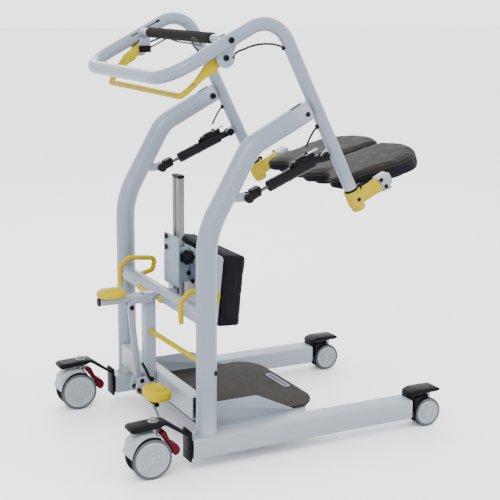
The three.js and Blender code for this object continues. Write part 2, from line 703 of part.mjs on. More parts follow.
// The squeeze bar under the handle: its two ends turn on pins on the arms' bail plates.
function releaseBail() {
  const y = HALF_TRACK - 12;
  const [px, pz] = BAIL.pivot;
  const side = [[px - 9, -y, pz - 7], [px - 30, -y, pz - 24], [BAIL.barX, -BAIL.halfWidth, BAIL.barZ]];
  const corners = [...side, ...side.slice().reverse().map(([x, yy, z]) => [x, -yy, z])];
  const rod = sweep(circle(BAIL.rodRadius), bent(corners, [30, 22, 22, 30], 4), SMALL);
  const strap = [
    [px + 12, pz - 10], [px - 6, pz - 15], [px - 20, pz - 33], [px - 44, pz - 45], [px - 68, pz - 62],
    [px - 74, pz - 52], [px - 58, pz - 32], [px - 48, pz - 18], [px - 26, pz - 2], [px - 6, pz + 13],
  ].reverse();
  const ends = [-y, y].flatMap((centre) => [
    crossPin(BAIL.pivot, centre, 12, BAIL.eye, 20),
    sidePlate(strap, centre, 11),
  ]);
  const holes = [-y, y].map((centre) => crossPin(BAIL.pivot, centre, 30, 5 + FIT, 24));
  return cut(join(rod, ...ends), ...holes);
}

// ---------------------------------------------------------------- knee pad on the mast

const kneeTilt = THREE.MathUtils.degToRad(KNEE_PAD.tilt);

// Sets a piece drawn about the knee pad's middle onto the tilted pad.
const onKnee = (geometry, forward = 0) =>
  geometry.translate(forward, 0, 0).rotateY(kneeTilt).translate(KNEE_PAD.x, 0, KNEE_PAD.z);

function roundedBlock(depth, width, height, radius) {
  const [w, h] = [width / 2, height / 2];
  const shape = new THREE.Shape()
    .moveTo(-w + radius, -h)
    .lineTo(w - radius, -h)
    .absarc(w - radius, -h + radius, radius, -Math.PI / 2, 0)
    .lineTo(w, h - radius)
    .absarc(w - radius, h - radius, radius, 0, Math.PI / 2)
    .lineTo(-w + radius, h)
    .absarc(-w + radius, h - radius, radius, Math.PI / 2, Math.PI)
    .lineTo(-w, -h + radius)
    .absarc(-w + radius, -h + radius, radius, Math.PI, 1.5 * Math.PI);
  return new THREE.ExtrudeGeometry(shape, { depth, bevelEnabled: false, curveSegments: 6 })
    .translate(0, 0, -depth / 2)
    .applyMatrix4(new THREE.Matrix4().set(0, 0, 1, 0, 1, 0, 0, 0, 0, 1, 0, 0, 0, 0, 0, 1));
}

const kneePad = () =>
  onKnee(roundedBlock(KNEE_PAD.thickness, KNEE_PAD.width, KNEE_PAD.height, KNEE_PAD.corner));

// The board behind the pad, which the carriage's arm is bolted to.
const kneePlate = () => {
  const { width, height, thickness, board } = KNEE_PAD;
  return onKnee(roundedBlock(board, width - 10, height - 8, 8), -(thickness + board) / 2 - GAP);
};

// The carriage clamps round the mast: a plate behind it, a sleeve on it and an arm to the knee plate.
function kneeCarriage() {
  const plate = box([-219.5, -19, 457.5], [4, 92, 129]);
  const sleeve = box([-193, 0, 444], [50, 62, 92]);
  const bolts = [486, 514].map((z) => cylinder([-228, 8, z], [-212, 8, z], 7, 6));
  const arm = box([-160, 0, 430], [30, 44, 64]);
  const boardBack = -KNEE_PAD.thickness / 2 - KNEE_PAD.board - 2 * GAP;
  const plateSpace = onKnee(box([30, 0, 0], [60, 320, 400]), boardBack);
  const channel = box([MAST.x, 0, 460], [MAST.depth + 2 * FIT, MAST.width + 2 * FIT, 260]);
  const knobHole = cylinder([KNOB.x, -20, KNOB.z], [KNOB.x, -60, KNOB.z], KNOB.stem + FIT, 12);
  return cut(cut(join(plate, sleeve, arm, ...bolts), plateSpace), channel, knobHole);
}

// A three-lobed clamping knob on the near side of the carriage.
function kneeKnob() {
  const lobes = [0, 1, 2].map((k) => {
    const turn = (k * 2 * Math.PI) / 3 + Math.PI / 2;
    const [x, z] = [KNOB.x + 15 * Math.cos(turn), KNOB.z + 15 * Math.sin(turn)];
    return crossPin([x, z], -46, 14, 9, 12);
  });
  return join(
    crossPin([KNOB.x, KNOB.z], -46, 14, 14, 16),
    crossPin([KNOB.x, KNOB.z], -33, 18, KNOB.stem, 12),
    ...lobes,
  );
}

// ---------------------------------------------------------------- pedals behind the post

function pedalLever() {
  const [px, pz] = PEDAL.leverPivot;
  const [lx, lz] = PEDAL.linkTop;
  const tube = cylinder([-293, 0, pz], [-410, 0, pz], 10.5, ROUND);
  const cheek = [[px - 9, pz - 11], [px + 9, pz - 9], [px + 9, pz + 9], [-330, pz + 9], [-330, pz - 9]];
  const cheeks = [-1, 1].map((side) => sidePlate(cheek, side * 18.5, 5));
  const web = box([-303, 0, pz], [20, 42, 16]);
  const lugs = [-1, 1].map((side) =>
    sidePlate([[lx - 9, lz - 8], [lx + 9, lz - 8], [lx + 9, pz - 4], [lx - 9, pz - 4]], side * 11, 5));
  const pivotHole = crossPin([px, pz], 0, 80, PEDAL.pin + FIT, 24);
  const linkPin = crossPin([lx, lz], 0, 26, PEDAL.pin);
  return join(cut(join(tube, web, ...cheeks, ...lugs), pivotHole), linkPin);
}

const pedalPad = () => roundedPad([-375.5, 0, 363 + 10.5 + GAP], [72, 60, 20]);

// A pad with bevelled edges; center is the middle of its underside.
function roundedPad([x, y, z], [length, width, height]) {
  const bevel = 5;
  const shape = new THREE.Shape([
    new THREE.Vector2(-length / 2 + bevel, -width / 2 + bevel),
    new THREE.Vector2(length / 2 - bevel, -width / 2 + bevel),
    new THREE.Vector2(length / 2 - bevel, width / 2 - bevel),
    new THREE.Vector2(-length / 2 + bevel, width / 2 - bevel),
  ]);
  return new THREE.ExtrudeGeometry(shape, {
    depth: height - 2 * bevel,
    bevelSize: bevel,
    bevelThickness: bevel,
    bevelSegments: 2,
  }).translate(x, y, z + bevel);
}

function pedalLink() {
  const [top, bottom] = [PEDAL.linkTop, PEDAL.linkBottom];
  const strap = sidePlate(
    [
      [top[0] - 8, top[1] - 8], [bottom[0] - 8, bottom[1] - 8], [bottom[0] + 8, bottom[1] - 8],
      [bottom[0] + 8, bottom[1] + 8], [top[0] + 8, top[1] + 8], [top[0] - 8, top[1] + 8],
    ],
    0,
    8,
  );
  const bores = [top, bottom].map((pin) => crossPin(pin, 0, 20, PEDAL.pin + FIT, 24));
  return cut(strap, ...bores);
}

// The arm turns on the post's lower pin and carries a cross shaft with the second pad.
function lowerPedalArm() {
  const [px, pz] = PEDAL.armPivot;
  const [lx, lz] = PEDAL.linkBottom;
  const [sx, sz] = PEDAL.shaft;
  const cheeks = [-1, 1].map((side) =>
    sidePlate([[px + 9, pz - 9], [px + 9, pz + 9], [lx - 8, lz + 9], [sx - 9, sz + 6], [sx - 7, sz - 9],
      [sx + 8, sz - 9]], side * 18.5, 5));
  const linkPin = crossPin([lx, lz], 0, 40, PEDAL.pin);
  const shaft = cylinder([sx, -140, sz], [sx, 21, sz], 6, 12);
  const seat = box([sx + 4, -118, sz + 8], [40, 34, 8]);
  const pivotHole = crossPin([px, pz], 0, 80, PEDAL.pin + FIT, 24);
  return join(cut(join(...cheeks, shaft, seat), pivotHole), linkPin);
}

const lowerPedalPad = () => roundedPad([-305, -118, PEDAL.shaft[1] + 12 + GAP], [60, 84, 30]);

// ---------------------------------------------------------------- assembly

const SIDE_PIECES = [
  ['leg', leg(), 'frame'],
  ['upright', upright(), 'frame'],
  ['lift_pivot_bolt', pivotBolt(), 'zinc'],
  ['arm_tube', armTube(), 'frame'],
  ['seat_hinge_casting', seatCasting(), 'yellow'],
  ['gas_spring_cylinder', gasCylinder(), 'black'],
  ['gas_spring_rod', gasRod(), 'black'],
  ['release_cable', releaseCable(), 'black'],
  ['seat_bracket', seatBracket(), 'light'],
  ['seat_pad', seatPad(), 'seat'],
  ['strap_hook', strapHook(), 'yellow'],
  ['rear_castor_bracket', castorBracket(REAR_BRACKET, 22, REAR_CASTOR), 'black'],
  ['rear_castor_hood', castorHood(REAR_CASTOR), 'hood'],
  ['rear_castor_wheels', castorWheels(REAR_CASTOR), 'tyre'],
  ['brake_pedal', brakePedal(), 'crimson'],
  ['front_castor_bracket', castorBracket(FRONT_BRACKET, 24, FRONT_CASTOR), 'black'],
  ['front_castor_hood', castorHood(FRONT_CASTOR), 'black'],
  ['front_castor_wheels', castorWheels(FRONT_CASTOR), 'tyre'],
];

const CENTRE_PIECES = [
  ['rear_cross_beam', rearBeam(), 'frame'],
  ['cross_tube', crossTube(), 'frame'],
  ['centre_post', centrePost(), 'frame'],
  ['mast', mast(), 'aluminium'],
  ['mast_cap', mastCap(), 'black'],
  ['lower_bar', lowerBar(), 'yellow'],
  ['footplate_tray', tray(), 'frame'],
  ['footplate_mat', mat(), 'mat'],
  ['handle_loop', handleLoop(), 'frame'],
  ['grip_bar', gripBar(), 'frame'],
  ['grip_foam', gripFoam(), 'foam'],
  ['release_bail', releaseBail(), 'yellow'],
  ['knee_carriage', kneeCarriage(), 'zinc'],
  ['knee_plate', kneePlate(), 'light'],
  ['knee_pad', kneePad(), 'kneePad'],
  ['knee_knob', kneeKnob(), 'black'],
  ['upper_pedal_lever', pedalLever(), 'frame'],
  ['upper_pedal_pad', pedalPad(), 'yellow'],
  ['pedal_link', pedalLink(), 'frame'],
  ['lower_pedal_arm', lowerPedalArm(), 'black'],
  ['lower_pedal_pad', lowerPedalPad(), 'yellow'],
];

const lift = new THREE.Group();

function add(parent, name, geometry, material) {
  const mesh = new THREE.Mesh(geometry, MATERIALS[material]);
  mesh.name = name;
  parent.add(mesh);
}

for (const [side, mirror] of [['near', 1], ['far', -1]]) {
  const half = new THREE.Group();
  half.scale.y = mirror;
  lift.add(half);
  for (const [name, geometry, material] of SIDE_PIECES) add(half, `${side}_${name}`, geometry, material);
}
for (const [name, geometry, material] of CENTRE_PIECES) add(lift, name, geometry, material);

export default lift;
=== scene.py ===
"""The looks of the sit-to-stand lift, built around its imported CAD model.

Shapes are written in millimetres in the row frame (+X patient's end, -Y near side, +Z up) and scaled to
metres when a mesh is made. Paired pieces are drawn on the near side and mirrored for the far side.
"""
import math

import bmesh
import bpy
from mathutils import Matrix, Vector, noise
from mathutils.geometry import interpolate_bezier


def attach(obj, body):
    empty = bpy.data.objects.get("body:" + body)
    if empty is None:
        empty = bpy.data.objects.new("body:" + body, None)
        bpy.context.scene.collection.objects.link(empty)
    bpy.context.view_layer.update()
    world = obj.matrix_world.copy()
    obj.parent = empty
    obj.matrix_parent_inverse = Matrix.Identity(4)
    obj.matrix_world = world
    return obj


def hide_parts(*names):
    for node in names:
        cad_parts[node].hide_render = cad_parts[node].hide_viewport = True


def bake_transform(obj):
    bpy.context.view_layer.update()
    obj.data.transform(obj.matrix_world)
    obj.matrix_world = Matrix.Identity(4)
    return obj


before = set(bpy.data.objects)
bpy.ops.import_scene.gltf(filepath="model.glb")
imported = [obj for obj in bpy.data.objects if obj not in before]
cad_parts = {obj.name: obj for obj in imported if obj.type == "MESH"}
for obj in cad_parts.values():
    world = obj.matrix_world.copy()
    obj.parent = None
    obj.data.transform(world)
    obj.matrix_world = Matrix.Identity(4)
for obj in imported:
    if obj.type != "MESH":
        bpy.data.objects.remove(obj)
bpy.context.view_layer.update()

MM = 0.001
Y = -260.0  # centre plane of the near leg, upright and arm

# ---------------------------------------------------------------- camera

CAMERA_PLACE = Vector((-1.3479, -2.6395, 1.1239))
CAMERA_TURN, CAMERA_TILT, CAMERA_ROLL = (math.radians(a) for a in (-27.27, 12.67, 0.53))
CAMERA_LENS = 83.36


def set_camera():
    back = Vector((
        math.sin(CAMERA_TURN) * math.cos(CAMERA_TILT),
        -math.cos(CAMERA_TURN) * math.cos(CAMERA_TILT),
        math.sin(CAMERA_TILT),
    ))
    right = Vector((math.cos(CAMERA_TURN), math.sin(CAMERA_TURN), 0))
    up = back.cross(right)
    c, s = math.cos(CAMERA_ROLL), math.sin(CAMERA_ROLL)
    axes = Matrix((c * right + s * up, c * up - s * right, back)).transposed()
    camera = bpy.data.objects.new("camera", bpy.data.cameras.new("camera"))
    camera.data.lens = CAMERA_LENS
    camera.data.sensor_width = 36
    camera.matrix_world = Matrix.Translation(CAMERA_PLACE) @ axes.to_4x4()
    bpy.context.collection.objects.link(camera)
    bpy.context.scene.camera = camera


# ---------------------------------------------------------------- materials


class Nodes:
    """Adds linked shader nodes to one new material."""

    def __init__(self, name):
        self.material = bpy.data.materials.new(name)
        self.material.use_nodes = True
        self.tree = self.material.node_tree
        self.shader = self.tree.nodes["Principled BSDF"]
        self.place = self.add("TexCoord").outputs["Object"]

    def add(self, kind, inputs=None, **settings):
        node = self.tree.nodes.new("ShaderNode" + kind)
        for key, value in settings.items():
            setattr(node, key, value)
        for key, value in (inputs or {}).items():
            self.set(node.inputs[key], value)
        return node

    def set(self, socket, value):
        if isinstance(value, bpy.types.NodeSocket):
            self.tree.links.new(value, socket)
        else:
            socket.default_value = value

    def noise(self, scale, detail=3.0, stretch=(1, 1, 1)):
        """Noise with features about 1 / scale metres wide, stretched along the axes given."""
        mapping = self.add("Mapping", {"Vector": self.place, "Scale": [1 / s for s in stretch]})
        inputs = {"Vector": mapping.outputs["Vector"], "Scale": scale, "Detail": detail}
        return self.add("TexNoise", inputs).outputs["Fac"]

    def cells(self, scale, feature="F1"):
        node = self.add("TexVoronoi", {"Vector": self.place, "Scale": scale}, feature=feature)
        return node.outputs["Distance"]

    def ramp(self, value, low, high, to_low=0.0, to_high=1.0):
        inputs = {"Value": value, "From Min": low, "From Max": high, "To Min": to_low, "To Max": to_high}
        return self.add("MapRange", inputs).outputs["Result"]

    def mix(self, factor, a, b):
        node = self.add("Mix", data_type="RGBA")
        for index, value in ((0, factor), (6, a), (7, b)):
            self.set(node.inputs[index], value)
        return node.outputs[2]

    def edges(self, start=0.52, full=0.6):
        """One along convex edges, zero elsewhere."""
        return self.ramp(self.add("NewGeometry").outputs["Pointiness"], start, full)


def shade(colour, factor):
    return tuple(min(1.0, c * factor) for c in colour) + (1.0,)


def surface(name, colour, roughness, metallic=0.0, mottle=0.06, mottle_scale=18, spread=0.06, relief=(),
            wear=0.0, coat=0.0, specular=0.5, stretch=(1, 1, 1)):
    """A material with a mottled colour, uneven gloss, fine relief and paler worn edges.

    relief is a row of (kind, scale, depth in mm); kind is noise, cells or creases.
    """
    nodes = Nodes(name)
    shader = nodes.shader
    blotches = nodes.ramp(nodes.noise(mottle_scale, 5, stretch), 0.32, 0.68)
    tone = nodes.mix(blotches, shade(colour, 1 - mottle), shade(colour, 1 + mottle))
    specks = nodes.ramp(nodes.noise(mottle_scale * 14, 2, stretch), 0.3, 0.7)
    tone = nodes.mix(nodes.ramp(specks, 0, 1, 0, 0.35), tone, shade(colour, 1 - 1.5 * mottle))
    if wear:
        edge = nodes.ramp(nodes.edges(), 0, 1, 0, wear)
        tone = nodes.mix(edge, tone, shade([0.35 + 0.65 * c for c in colour], 1))
    nodes.set(shader.inputs["Base Color"], tone)
    patches = nodes.noise(mottle_scale * 3, 4, stretch)
    gloss = nodes.ramp(patches, 0.3, 0.7, roughness - spread, roughness + spread)
    nodes.set(shader.inputs["Roughness"], gloss)
    shader.inputs["Metallic"].default_value = metallic
    shader.inputs["Coat Weight"].default_value = coat
    shader.inputs["Coat Roughness"].default_value = 0.25
    shader.inputs["Specular IOR Level"].default_value = specular
    normal = None
    for kind, scale, depth in relief:
        if kind == "noise":
            height = nodes.noise(scale, 3, stretch)
        elif kind == "cells":
            height = nodes.cells(scale)
        else:
            height = nodes.ramp(nodes.cells(scale, "DISTANCE_TO_EDGE"), 0, 0.18)
        inputs = {"Height": height, "Distance": depth * MM, "Strength": 0.7}
        if normal:
            inputs["Normal"] = normal
        normal = nodes.add("Bump", inputs).outputs["Normal"]
    if normal:
        nodes.set(shader.inputs["Normal"], normal)
    return nodes.material


PEEL = (("noise", 700, 0.05), ("noise", 160, 0.05))
MOULDED = (("noise", 1800, 0.08),)
VINYL = (("creases", 420, 0.10), ("noise", 1500, 0.07))

paint = surface("frame_paint", (0.135, 0.163, 0.205), 0.36, mottle=0.035, relief=PEEL, wear=0.3, coat=0.1)
yellow_paint = surface("yellow_paint", (0.31, 0.23, 0.0), 0.42, mottle=0.05, relief=PEEL, wear=0.08,
                       specular=0.04)
yellow_plastic = surface("yellow_plastic", (0.34, 0.255, 0.0), 0.45, mottle=0.04, relief=MOULDED,
                         specular=0.04)
black = surface("black_plastic", (0.003, 0.003, 0.0035), 0.45, mottle=0.25, relief=MOULDED, specular=0.07)
black_steel = surface("black_steel", (0.004, 0.004, 0.005), 0.34, mottle=0.2, relief=PEEL, specular=0.09)
hood_grey = surface("hood_grey", (0.20, 0.225, 0.25), 0.42, mottle=0.04, relief=MOULDED)
disc_grey = surface("disc_grey", (0.22, 0.245, 0.27), 0.4, mottle=0.04, relief=MOULDED)
tyre = surface("tyre", (0.004, 0.0042, 0.005), 0.6, mottle=0.2, mottle_scale=60, specular=0.08,
               relief=(("noise", 900, 0.12),))
sidewall = surface("sidewall", (0.05, 0.055, 0.064), 0.55, mottle=0.1, mottle_scale=60, specular=0.25,
                   relief=(("noise", 1200, 0.06),))
crimson = surface("crimson", (0.062, 0.0004, 0.005), 0.38, mottle=0.1, relief=MOULDED, specular=0.08)
zinc = surface("zinc", (0.20, 0.215, 0.24), 0.34, 0.75, mottle=0.1, mottle_scale=60,
               relief=(("cells", 260, 0.04),))
cast_blue = surface("cast_blue", (0.115, 0.16, 0.20), 0.45, 0.2, mottle=0.08, relief=(("noise", 500, 0.15),))
aluminium = surface("aluminium", (0.16, 0.16, 0.165), 0.33, 0.8, mottle=0.07, mottle_scale=90,
                    stretch=(1, 1, 30), relief=(("noise", 900, 0.03),))
rod_steel = surface("rod_steel", (0.05, 0.05, 0.055), 0.25, 0.5, mottle=0.15, relief=(("noise", 1200, 0.02),))
cable_black = surface("cable_black", (0.008, 0.008, 0.008), 0.5, mottle=0.2, relief=(("noise", 2200, 0.06),),
                      specular=0.16)
seat_vinyl = surface("seat_vinyl", (0.0098, 0.0082, 0.0067), 0.6, mottle=0.10, mottle_scale=14,
                     relief=VINYL, specular=0.09)
# A darker, bluer copy of the seat vinyl: painted shade for the sides of the seat and knee cushions below
# their seams.
shaded_side_vinyl = surface("shaded_side_vinyl", (0.0035, 0.004, 0.006), 0.7, mottle=0.12, mottle_scale=14,
                     relief=VINYL, specular=0.08)
knee_vinyl = surface("knee_vinyl", (0.003, 0.003, 0.0035), 0.5, mottle=0.15, mottle_scale=14,
                     relief=VINYL, specular=0.08)
thread = surface("thread", (0.02, 0.019, 0.018), 0.8, mottle=0.2, specular=0.1,
                 relief=(("noise", 3000, 0.1),))
foam = surface("foam", (0.009, 0.0075, 0.0075), 0.9, mottle=0.18, mottle_scale=40, specular=0.1,
               relief=(("cells", 700, 0.35), ("noise", 260, 0.3)))
mat_rubber = surface("mat_rubber", (0.019, 0.0165, 0.0135), 0.8, mottle=0.08, mottle_scale=22, specular=0.15,
                     relief=(("creases", 230, 0.25), ("noise", 1200, 0.12)))

# ---------------------------------------------------------------- curves and outlines


def at(point, y=Y):
    """A point given as (x, z), in the plane y."""
    return Vector((point[0], y, point[1]))


def bent(corners, radii, step=7.0):
    """Points along straight runs joined by arcs, one about every step degrees."""
    corners = [Vector(p) for p in corners]
    if not isinstance(radii, (list, tuple)):
        radii = [radii] * (len(corners) - 2)
    points = [corners[0]]
    for before, corner, after, radius in zip(corners, corners[1:], corners[2:], radii):
        back, on = (before - corner).normalized(), (after - corner).normalized()
        half = back.angle(on) / 2
        centre = corner + (back + on).normalized() * (radius / math.sin(half))
        arm = corner + back * (radius / math.tan(half)) - centre
        turn = math.pi - 2 * half
        count = max(2, math.ceil(math.degrees(turn) / step))
        axis = on.cross(back)
        points += [centre + Matrix.Rotation(turn * k / count, 3, axis) @ arm for k in range(count + 1)]
    return points + [corners[-1]]


def smooth_curve(points, per_span=8):
    """A Catmull-Rom curve through the points."""
    points = [Vector(p) for p in points]
    ends = [2 * points[0] - points[1]] + points + [2 * points[-1] - points[-2]]
    path = []
    for a, b, c, d in zip(ends, ends[1:], ends[2:], ends[3:]):
        path += interpolate_bezier(b, b + (c - a) / 6, c - (d - b) / 6, c, per_span + 1)[:-1]
    return path + [points[-1]]


def spaced(points, gap):
    """The same path with points no further apart than gap."""
    path = [points[0]]
    for a, b in zip(points, points[1:]):
        count = max(1, math.ceil((b - a).length / gap))
        path += [a.lerp(b, k / count) for k in range(1, count + 1)]
    return path


def rounded(outline, radius, step=15.0):
    """A closed outline in two dimensions with its corners rounded; radius may be one per corner."""
    count = len(outline)
    radii = radius if isinstance(radius, (list, tuple)) else [radius] * count
    corners = [Vector((a, b, 0)) for a, b in outline]
    result = []
    for k, corner in enumerate(corners):
        before, after = corners[k - 1], corners[(k + 1) % count]
        reach = min((before - corner).length, (after - corner).length) * 0.49
        half = (before - corner).angle(after - corner) / 2
        r = min(radii[k], reach * math.tan(half))
        if r < 0.05:
            result.append(corner)
        else:
            result += bent((before, corner, after), r, step)[1:-1]
    return [(p.x, p.y) for p in result]


def rectangle(width, height, radius, step=15.0):
    w, h = width / 2, height / 2
    return rounded([(-w, -h), (w, -h), (w, h), (-w, h)], radius, step)


# ---------------------------------------------------------------- meshes


def crossing(direction):
    """Two unit vectors across a direction, the first as near to +Y as it can be."""
    direction = Vector(direction).normalized()
    side = Vector((0, 1, 0)) if abs(direction.y) < 0.95 else Vector((1, 0, 0))
    side = (side - direction * side.dot(direction)).normalized()
    return side, direction.cross(side)


class Shape:
    """Collects closed shells, in millimetres, into one mesh with a material per shell."""

    def __init__(self):
        self.mesh = bmesh.new()
        self.materials = []

    def slot(self, material):
        if material not in self.materials:
            self.materials.append(material)
        return self.materials.index(material)

    def skin(self, rings, material, caps=True, loop=False):
        """Joins a row of rings; a ring of one point closes to it. loop joins the last ring to the first."""
        index = self.slot(material)
        rows = [[self.mesh.verts.new(Vector(p) * MM) for p in ring] for ring in rings]
        pairs = list(zip(rows, rows[1:]))
        if loop:
            pairs.append((rows[-1], rows[0]))
        faces = []
        for a, b in pairs:
            count = max(len(a), len(b))
            for i in range(count):
                j = (i + 1) % count
                corners = [a[i % len(a)], a[j % len(a)], b[j % len(b)], b[i % len(b)]]
                corners = list(dict.fromkeys(corners))
                if len(corners) > 2:
                    faces.append(self.mesh.faces.new(corners))
        if caps and not loop:
            faces += [self.mesh.faces.new(row) for row in (rows[0], rows[-1]) if len(row) > 2]
        for face in faces:
            face.material_index = index
        return self

    def tube(self, path, radius, material, sides=36, bore=0.0, across=None, loop=False, dome=0.0):
        """A round bar or pipe along a path.

        radius may be a function of the distance along the path, 0 to 1, that gives (along Y, in plane). dome
        rounds the ends over that length.
        """
        path = [Vector(p) for p in path]
        if loop:
            tangents = [(b - a).normalized() for a, b in zip([path[-1]] + path, path[1:] + [path[0]])]
        else:
            steps = [(b - a).normalized() for a, b in zip(path, path[1:])]
            tangents = [steps[0]] + [(a + b).normalized() for a, b in zip(steps, steps[1:])] + [steps[-1]]
        lengths = [0.0]
        for a, b in zip(path, path[1:]):
            lengths.append(lengths[-1] + (b - a).length)
        side = Vector(across) if across else crossing(tangents[0])[0]
        frames = []
        for tangent in tangents:
            side = (side - tangent * side.dot(tangent)).normalized()
            frames.append((side.copy(), tangent.cross(side)))

        def ring(k, shrink=0.0, shift=0.0):
            size = radius(lengths[k] / lengths[-1]) if callable(radius) else (radius, radius)
            a, b = frames[k]
            centre = path[k] + tangents[k] * shift
            turns = (2 * math.pi * i / sides for i in range(sides))
            wide, deep = size[0] - shrink, size[1] - shrink
            return [centre + a * math.cos(t) * wide + b * math.sin(t) * deep for t in turns]

        rings = [ring(k) for k in range(len(path))]
        if bore:
            wall = (radius if not callable(radius) else radius(0)[0]) - bore
            rings += [ring(k, wall) for k in reversed(range(len(path)))]
            return self.skin(rings, material, loop=True)
        if dome:
            angles = (math.radians(a) for a in (15, 30, 45, 60, 75))
            bulge = [(dome * (1 - math.cos(a)), dome * math.sin(a)) for a in angles]
            head = [ring(0, shrink, -rise) for shrink, rise in bulge]
            tail = [ring(-1, shrink, rise) for shrink, rise in bulge]
            rings = head[::-1] + rings + tail
        return self.skin(rings, material, loop=loop)

    def rod(self, start, end, radius, material, sides=32, chamfer=0.8, bore=0.0):
        """A straight bar with chamfered ends, or a pipe if it has a bore."""
        start, end = Vector(start), Vector(end)
        length = (end - start).length
        if bore:
            profile = [(bore, 0), (radius - chamfer, 0), (radius, chamfer), (radius, length - chamfer),
                       (radius - chamfer, length), (bore, length)]
            return self.lathe(start, end - start, profile, material, sides, closed=True)
        c = min(chamfer, radius / 2, length / 3)
        profile = [(0, 0), (radius - c, 0), (radius, c), (radius, length - c), (radius - c, length)]
        return self.lathe(start, end - start, profile + [(0, length)], material, sides)

    def lathe(self, origin, axis, profile, material, sides=48, closed=False):
        """A profile of (radius, height) turned about an axis; it starts and ends there, or is closed."""
        origin = Vector(origin)
        along = Vector(axis).normalized()
        a, b = crossing(along)
        rings = []
        for radius, height in profile:
            centre = origin + along * height
            if radius < 1e-6:
                rings.append([centre])
                continue
            turns = (2 * math.pi * i / sides for i in range(sides))
            rings.append([centre + (a * math.cos(t) + b * math.sin(t)) * radius for t in turns])
        return self.skin(rings, material, caps=False, loop=closed)

    def prism(self, outline, depth, material, bevel=1.0, segments=2):
        """A flat outline of points extruded by the vector depth, with its rims bevelled."""
        part = bmesh.new()
        face = part.faces.new([part.verts.new(Vector(p) * MM) for p in outline])
        moved = bmesh.ops.extrude_face_region(part, geom=[face])
        top = [g for g in moved["geom"] if isinstance(g, bmesh.types.BMVert)]
        bmesh.ops.translate(part, verts=top, vec=Vector(depth) * MM)
        bmesh.ops.recalc_face_normals(part, faces=part.faces)
        if bevel:
            part.edges.ensure_lookup_table()
            sharp = [e for e in part.edges if e.is_manifold and e.calc_face_angle() > math.radians(50)]
            bmesh.ops.bevel(part, geom=sharp, offset=bevel * MM, segments=segments, profile=0.5,
                            affect="EDGES", clamp_overlap=True)
        return self.merge(part, material)

    def merge(self, part, material):
        index = self.slot(material)
        for face in part.faces:
            face.material_index = index
        holder = bpy.data.meshes.new("part")
        part.to_mesh(holder)
        part.free()
        self.mesh.from_mesh(holder)
        bpy.data.meshes.remove(holder)
        return self

    def plate(self, outline, y, thickness, material, bevel=1.0, corner=0.0):
        """An outline of (x, z) made into a plate of that thickness, centred on the plane y."""
        if corner:
            outline = rounded(outline, corner)
        return self.prism([at(p, y - thickness / 2) for p in outline], (0, thickness, 0), material, bevel)

    def block(self, center, size, material, corner=2.0, bevel=1.0, axes=None):
        """A box with rounded upright corners. axes are the directions of its length, width and height."""
        length, width, height = size
        u, v, w = axes or (Vector((1, 0, 0)), Vector((0, 1, 0)), Vector((0, 0, 1)))
        base = Vector(center) - w * (height / 2)
        outline = [base + u * a + v * b for a, b in rectangle(length, width, corner)]
        return self.prism(outline, w * height, material, bevel)

    def bolt(self, place, axis, radius, height, material, socket=True):
        """A domed screw head whose top faces along the axis, with a hexagon socket."""
        place, axis = Vector(place), Vector(axis).normalized()
        profile = [(0, 0), (radius, 0), (radius, height * 0.45), (radius * 0.92, height * 0.75)]
        profile.append((radius * 0.7, height))
        if socket:
            profile += [(radius * 0.42, height), (radius * 0.36, height * 0.35), (0, height * 0.35)]
        else:
            profile.append((0, height))
        return self.lathe(place, axis, profile, material, 24)

    def hexagon(self, place, axis, radius, height, material):
        """A hexagon nut or bolt head."""
        axis = Vector(axis).normalized()
        a, b = crossing(axis)
        turns = (math.radians(60 * k) for k in range(6))
        outline = [Vector(place) + (a * math.cos(t) + b * math.sin(t)) * radius for t in turns]
        return self.prism(outline, axis * height, material, min(1.0, height / 4))

    def weld(self, path, material, radius=2.4, loop=True):
        """A rippled bead along a path."""
        path = [Vector(p) for p in path]
        ripples = max(8, int(sum((b - a).length for a, b in zip(path, path[1:])) / 2.2))
        path = spaced(path, 1.1)

        def size(t):
            return (radius * (1 + 0.14 * math.cos(2 * math.pi * ripples * t)),) * 2

        return self.tube(path[:-1] if loop else path, size, material, 8, loop=loop)


def carve(mesh_object, cutter):
    """Takes one object's solid out of another's mesh."""
    modifier = mesh_object.modifiers.new("carve", "BOOLEAN")
    modifier.operation = "DIFFERENCE"
    modifier.solver = "EXACT"
    modifier.object = cutter
    apply_modifiers(mesh_object)
    bpy.data.objects.remove(cutter)


def apply_modifiers(mesh_object):
    evaluated = mesh_object.evaluated_get(bpy.context.evaluated_depsgraph_get())
    made = bpy.data.meshes.new_from_object(evaluated)
    mesh_object.modifiers.clear()
    mesh_object.data = made


def soften(mesh, angle=36.0):
    """Smooth shading, with the edges sharper than angle left crisp."""
    part = bmesh.new()
    part.from_mesh(mesh)
    bmesh.ops.recalc_face_normals(part, faces=part.faces)
    for face in part.faces:
        face.smooth = True
    for edge in part.edges:
        edge.smooth = not (edge.is_manifold and edge.calc_face_angle() > math.radians(angle))
    part.to_mesh(mesh)
    part.free()


def piece(name, shape, body, replaces=(), mirror=False, cutters=()):
    """Makes an object of a shape, rides it on a body, if it has one, and hides the CAD parts it stands for.
    """
    made = []
    for label, form in [(name, shape)] + [("cutter", c) for c in cutters]:
        if mirror:
            bmesh.ops.scale(form.mesh, vec=(1, -1, 1), verts=form.mesh.verts)
        bmesh.ops.recalc_face_normals(form.mesh, faces=form.mesh.faces)
        mesh = bpy.data.meshes.new(label)
        form.mesh.to_mesh(mesh)
        form.mesh.free()
        for material in form.materials:
            mesh.materials.append(material)
        made.append(bpy.data.objects.new(label, mesh))
        bpy.context.collection.objects.link(made[-1])
    result = made[0]
    for cutter in made[1:]:
        carve(result, cutter)
    soften(result.data)
    if body:
        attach(result, body)
    if replaces:
        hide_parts(*replaces)
    return result


def circle(center, axis, radius, count=48):
    a, b = crossing(axis)
    turns = (2 * math.pi * k / count for k in range(count + 1))
    return [Vector(center) + (a * math.cos(t) + b * math.sin(t)) * radius for t in turns]


# ---------------------------------------------------------------- padding

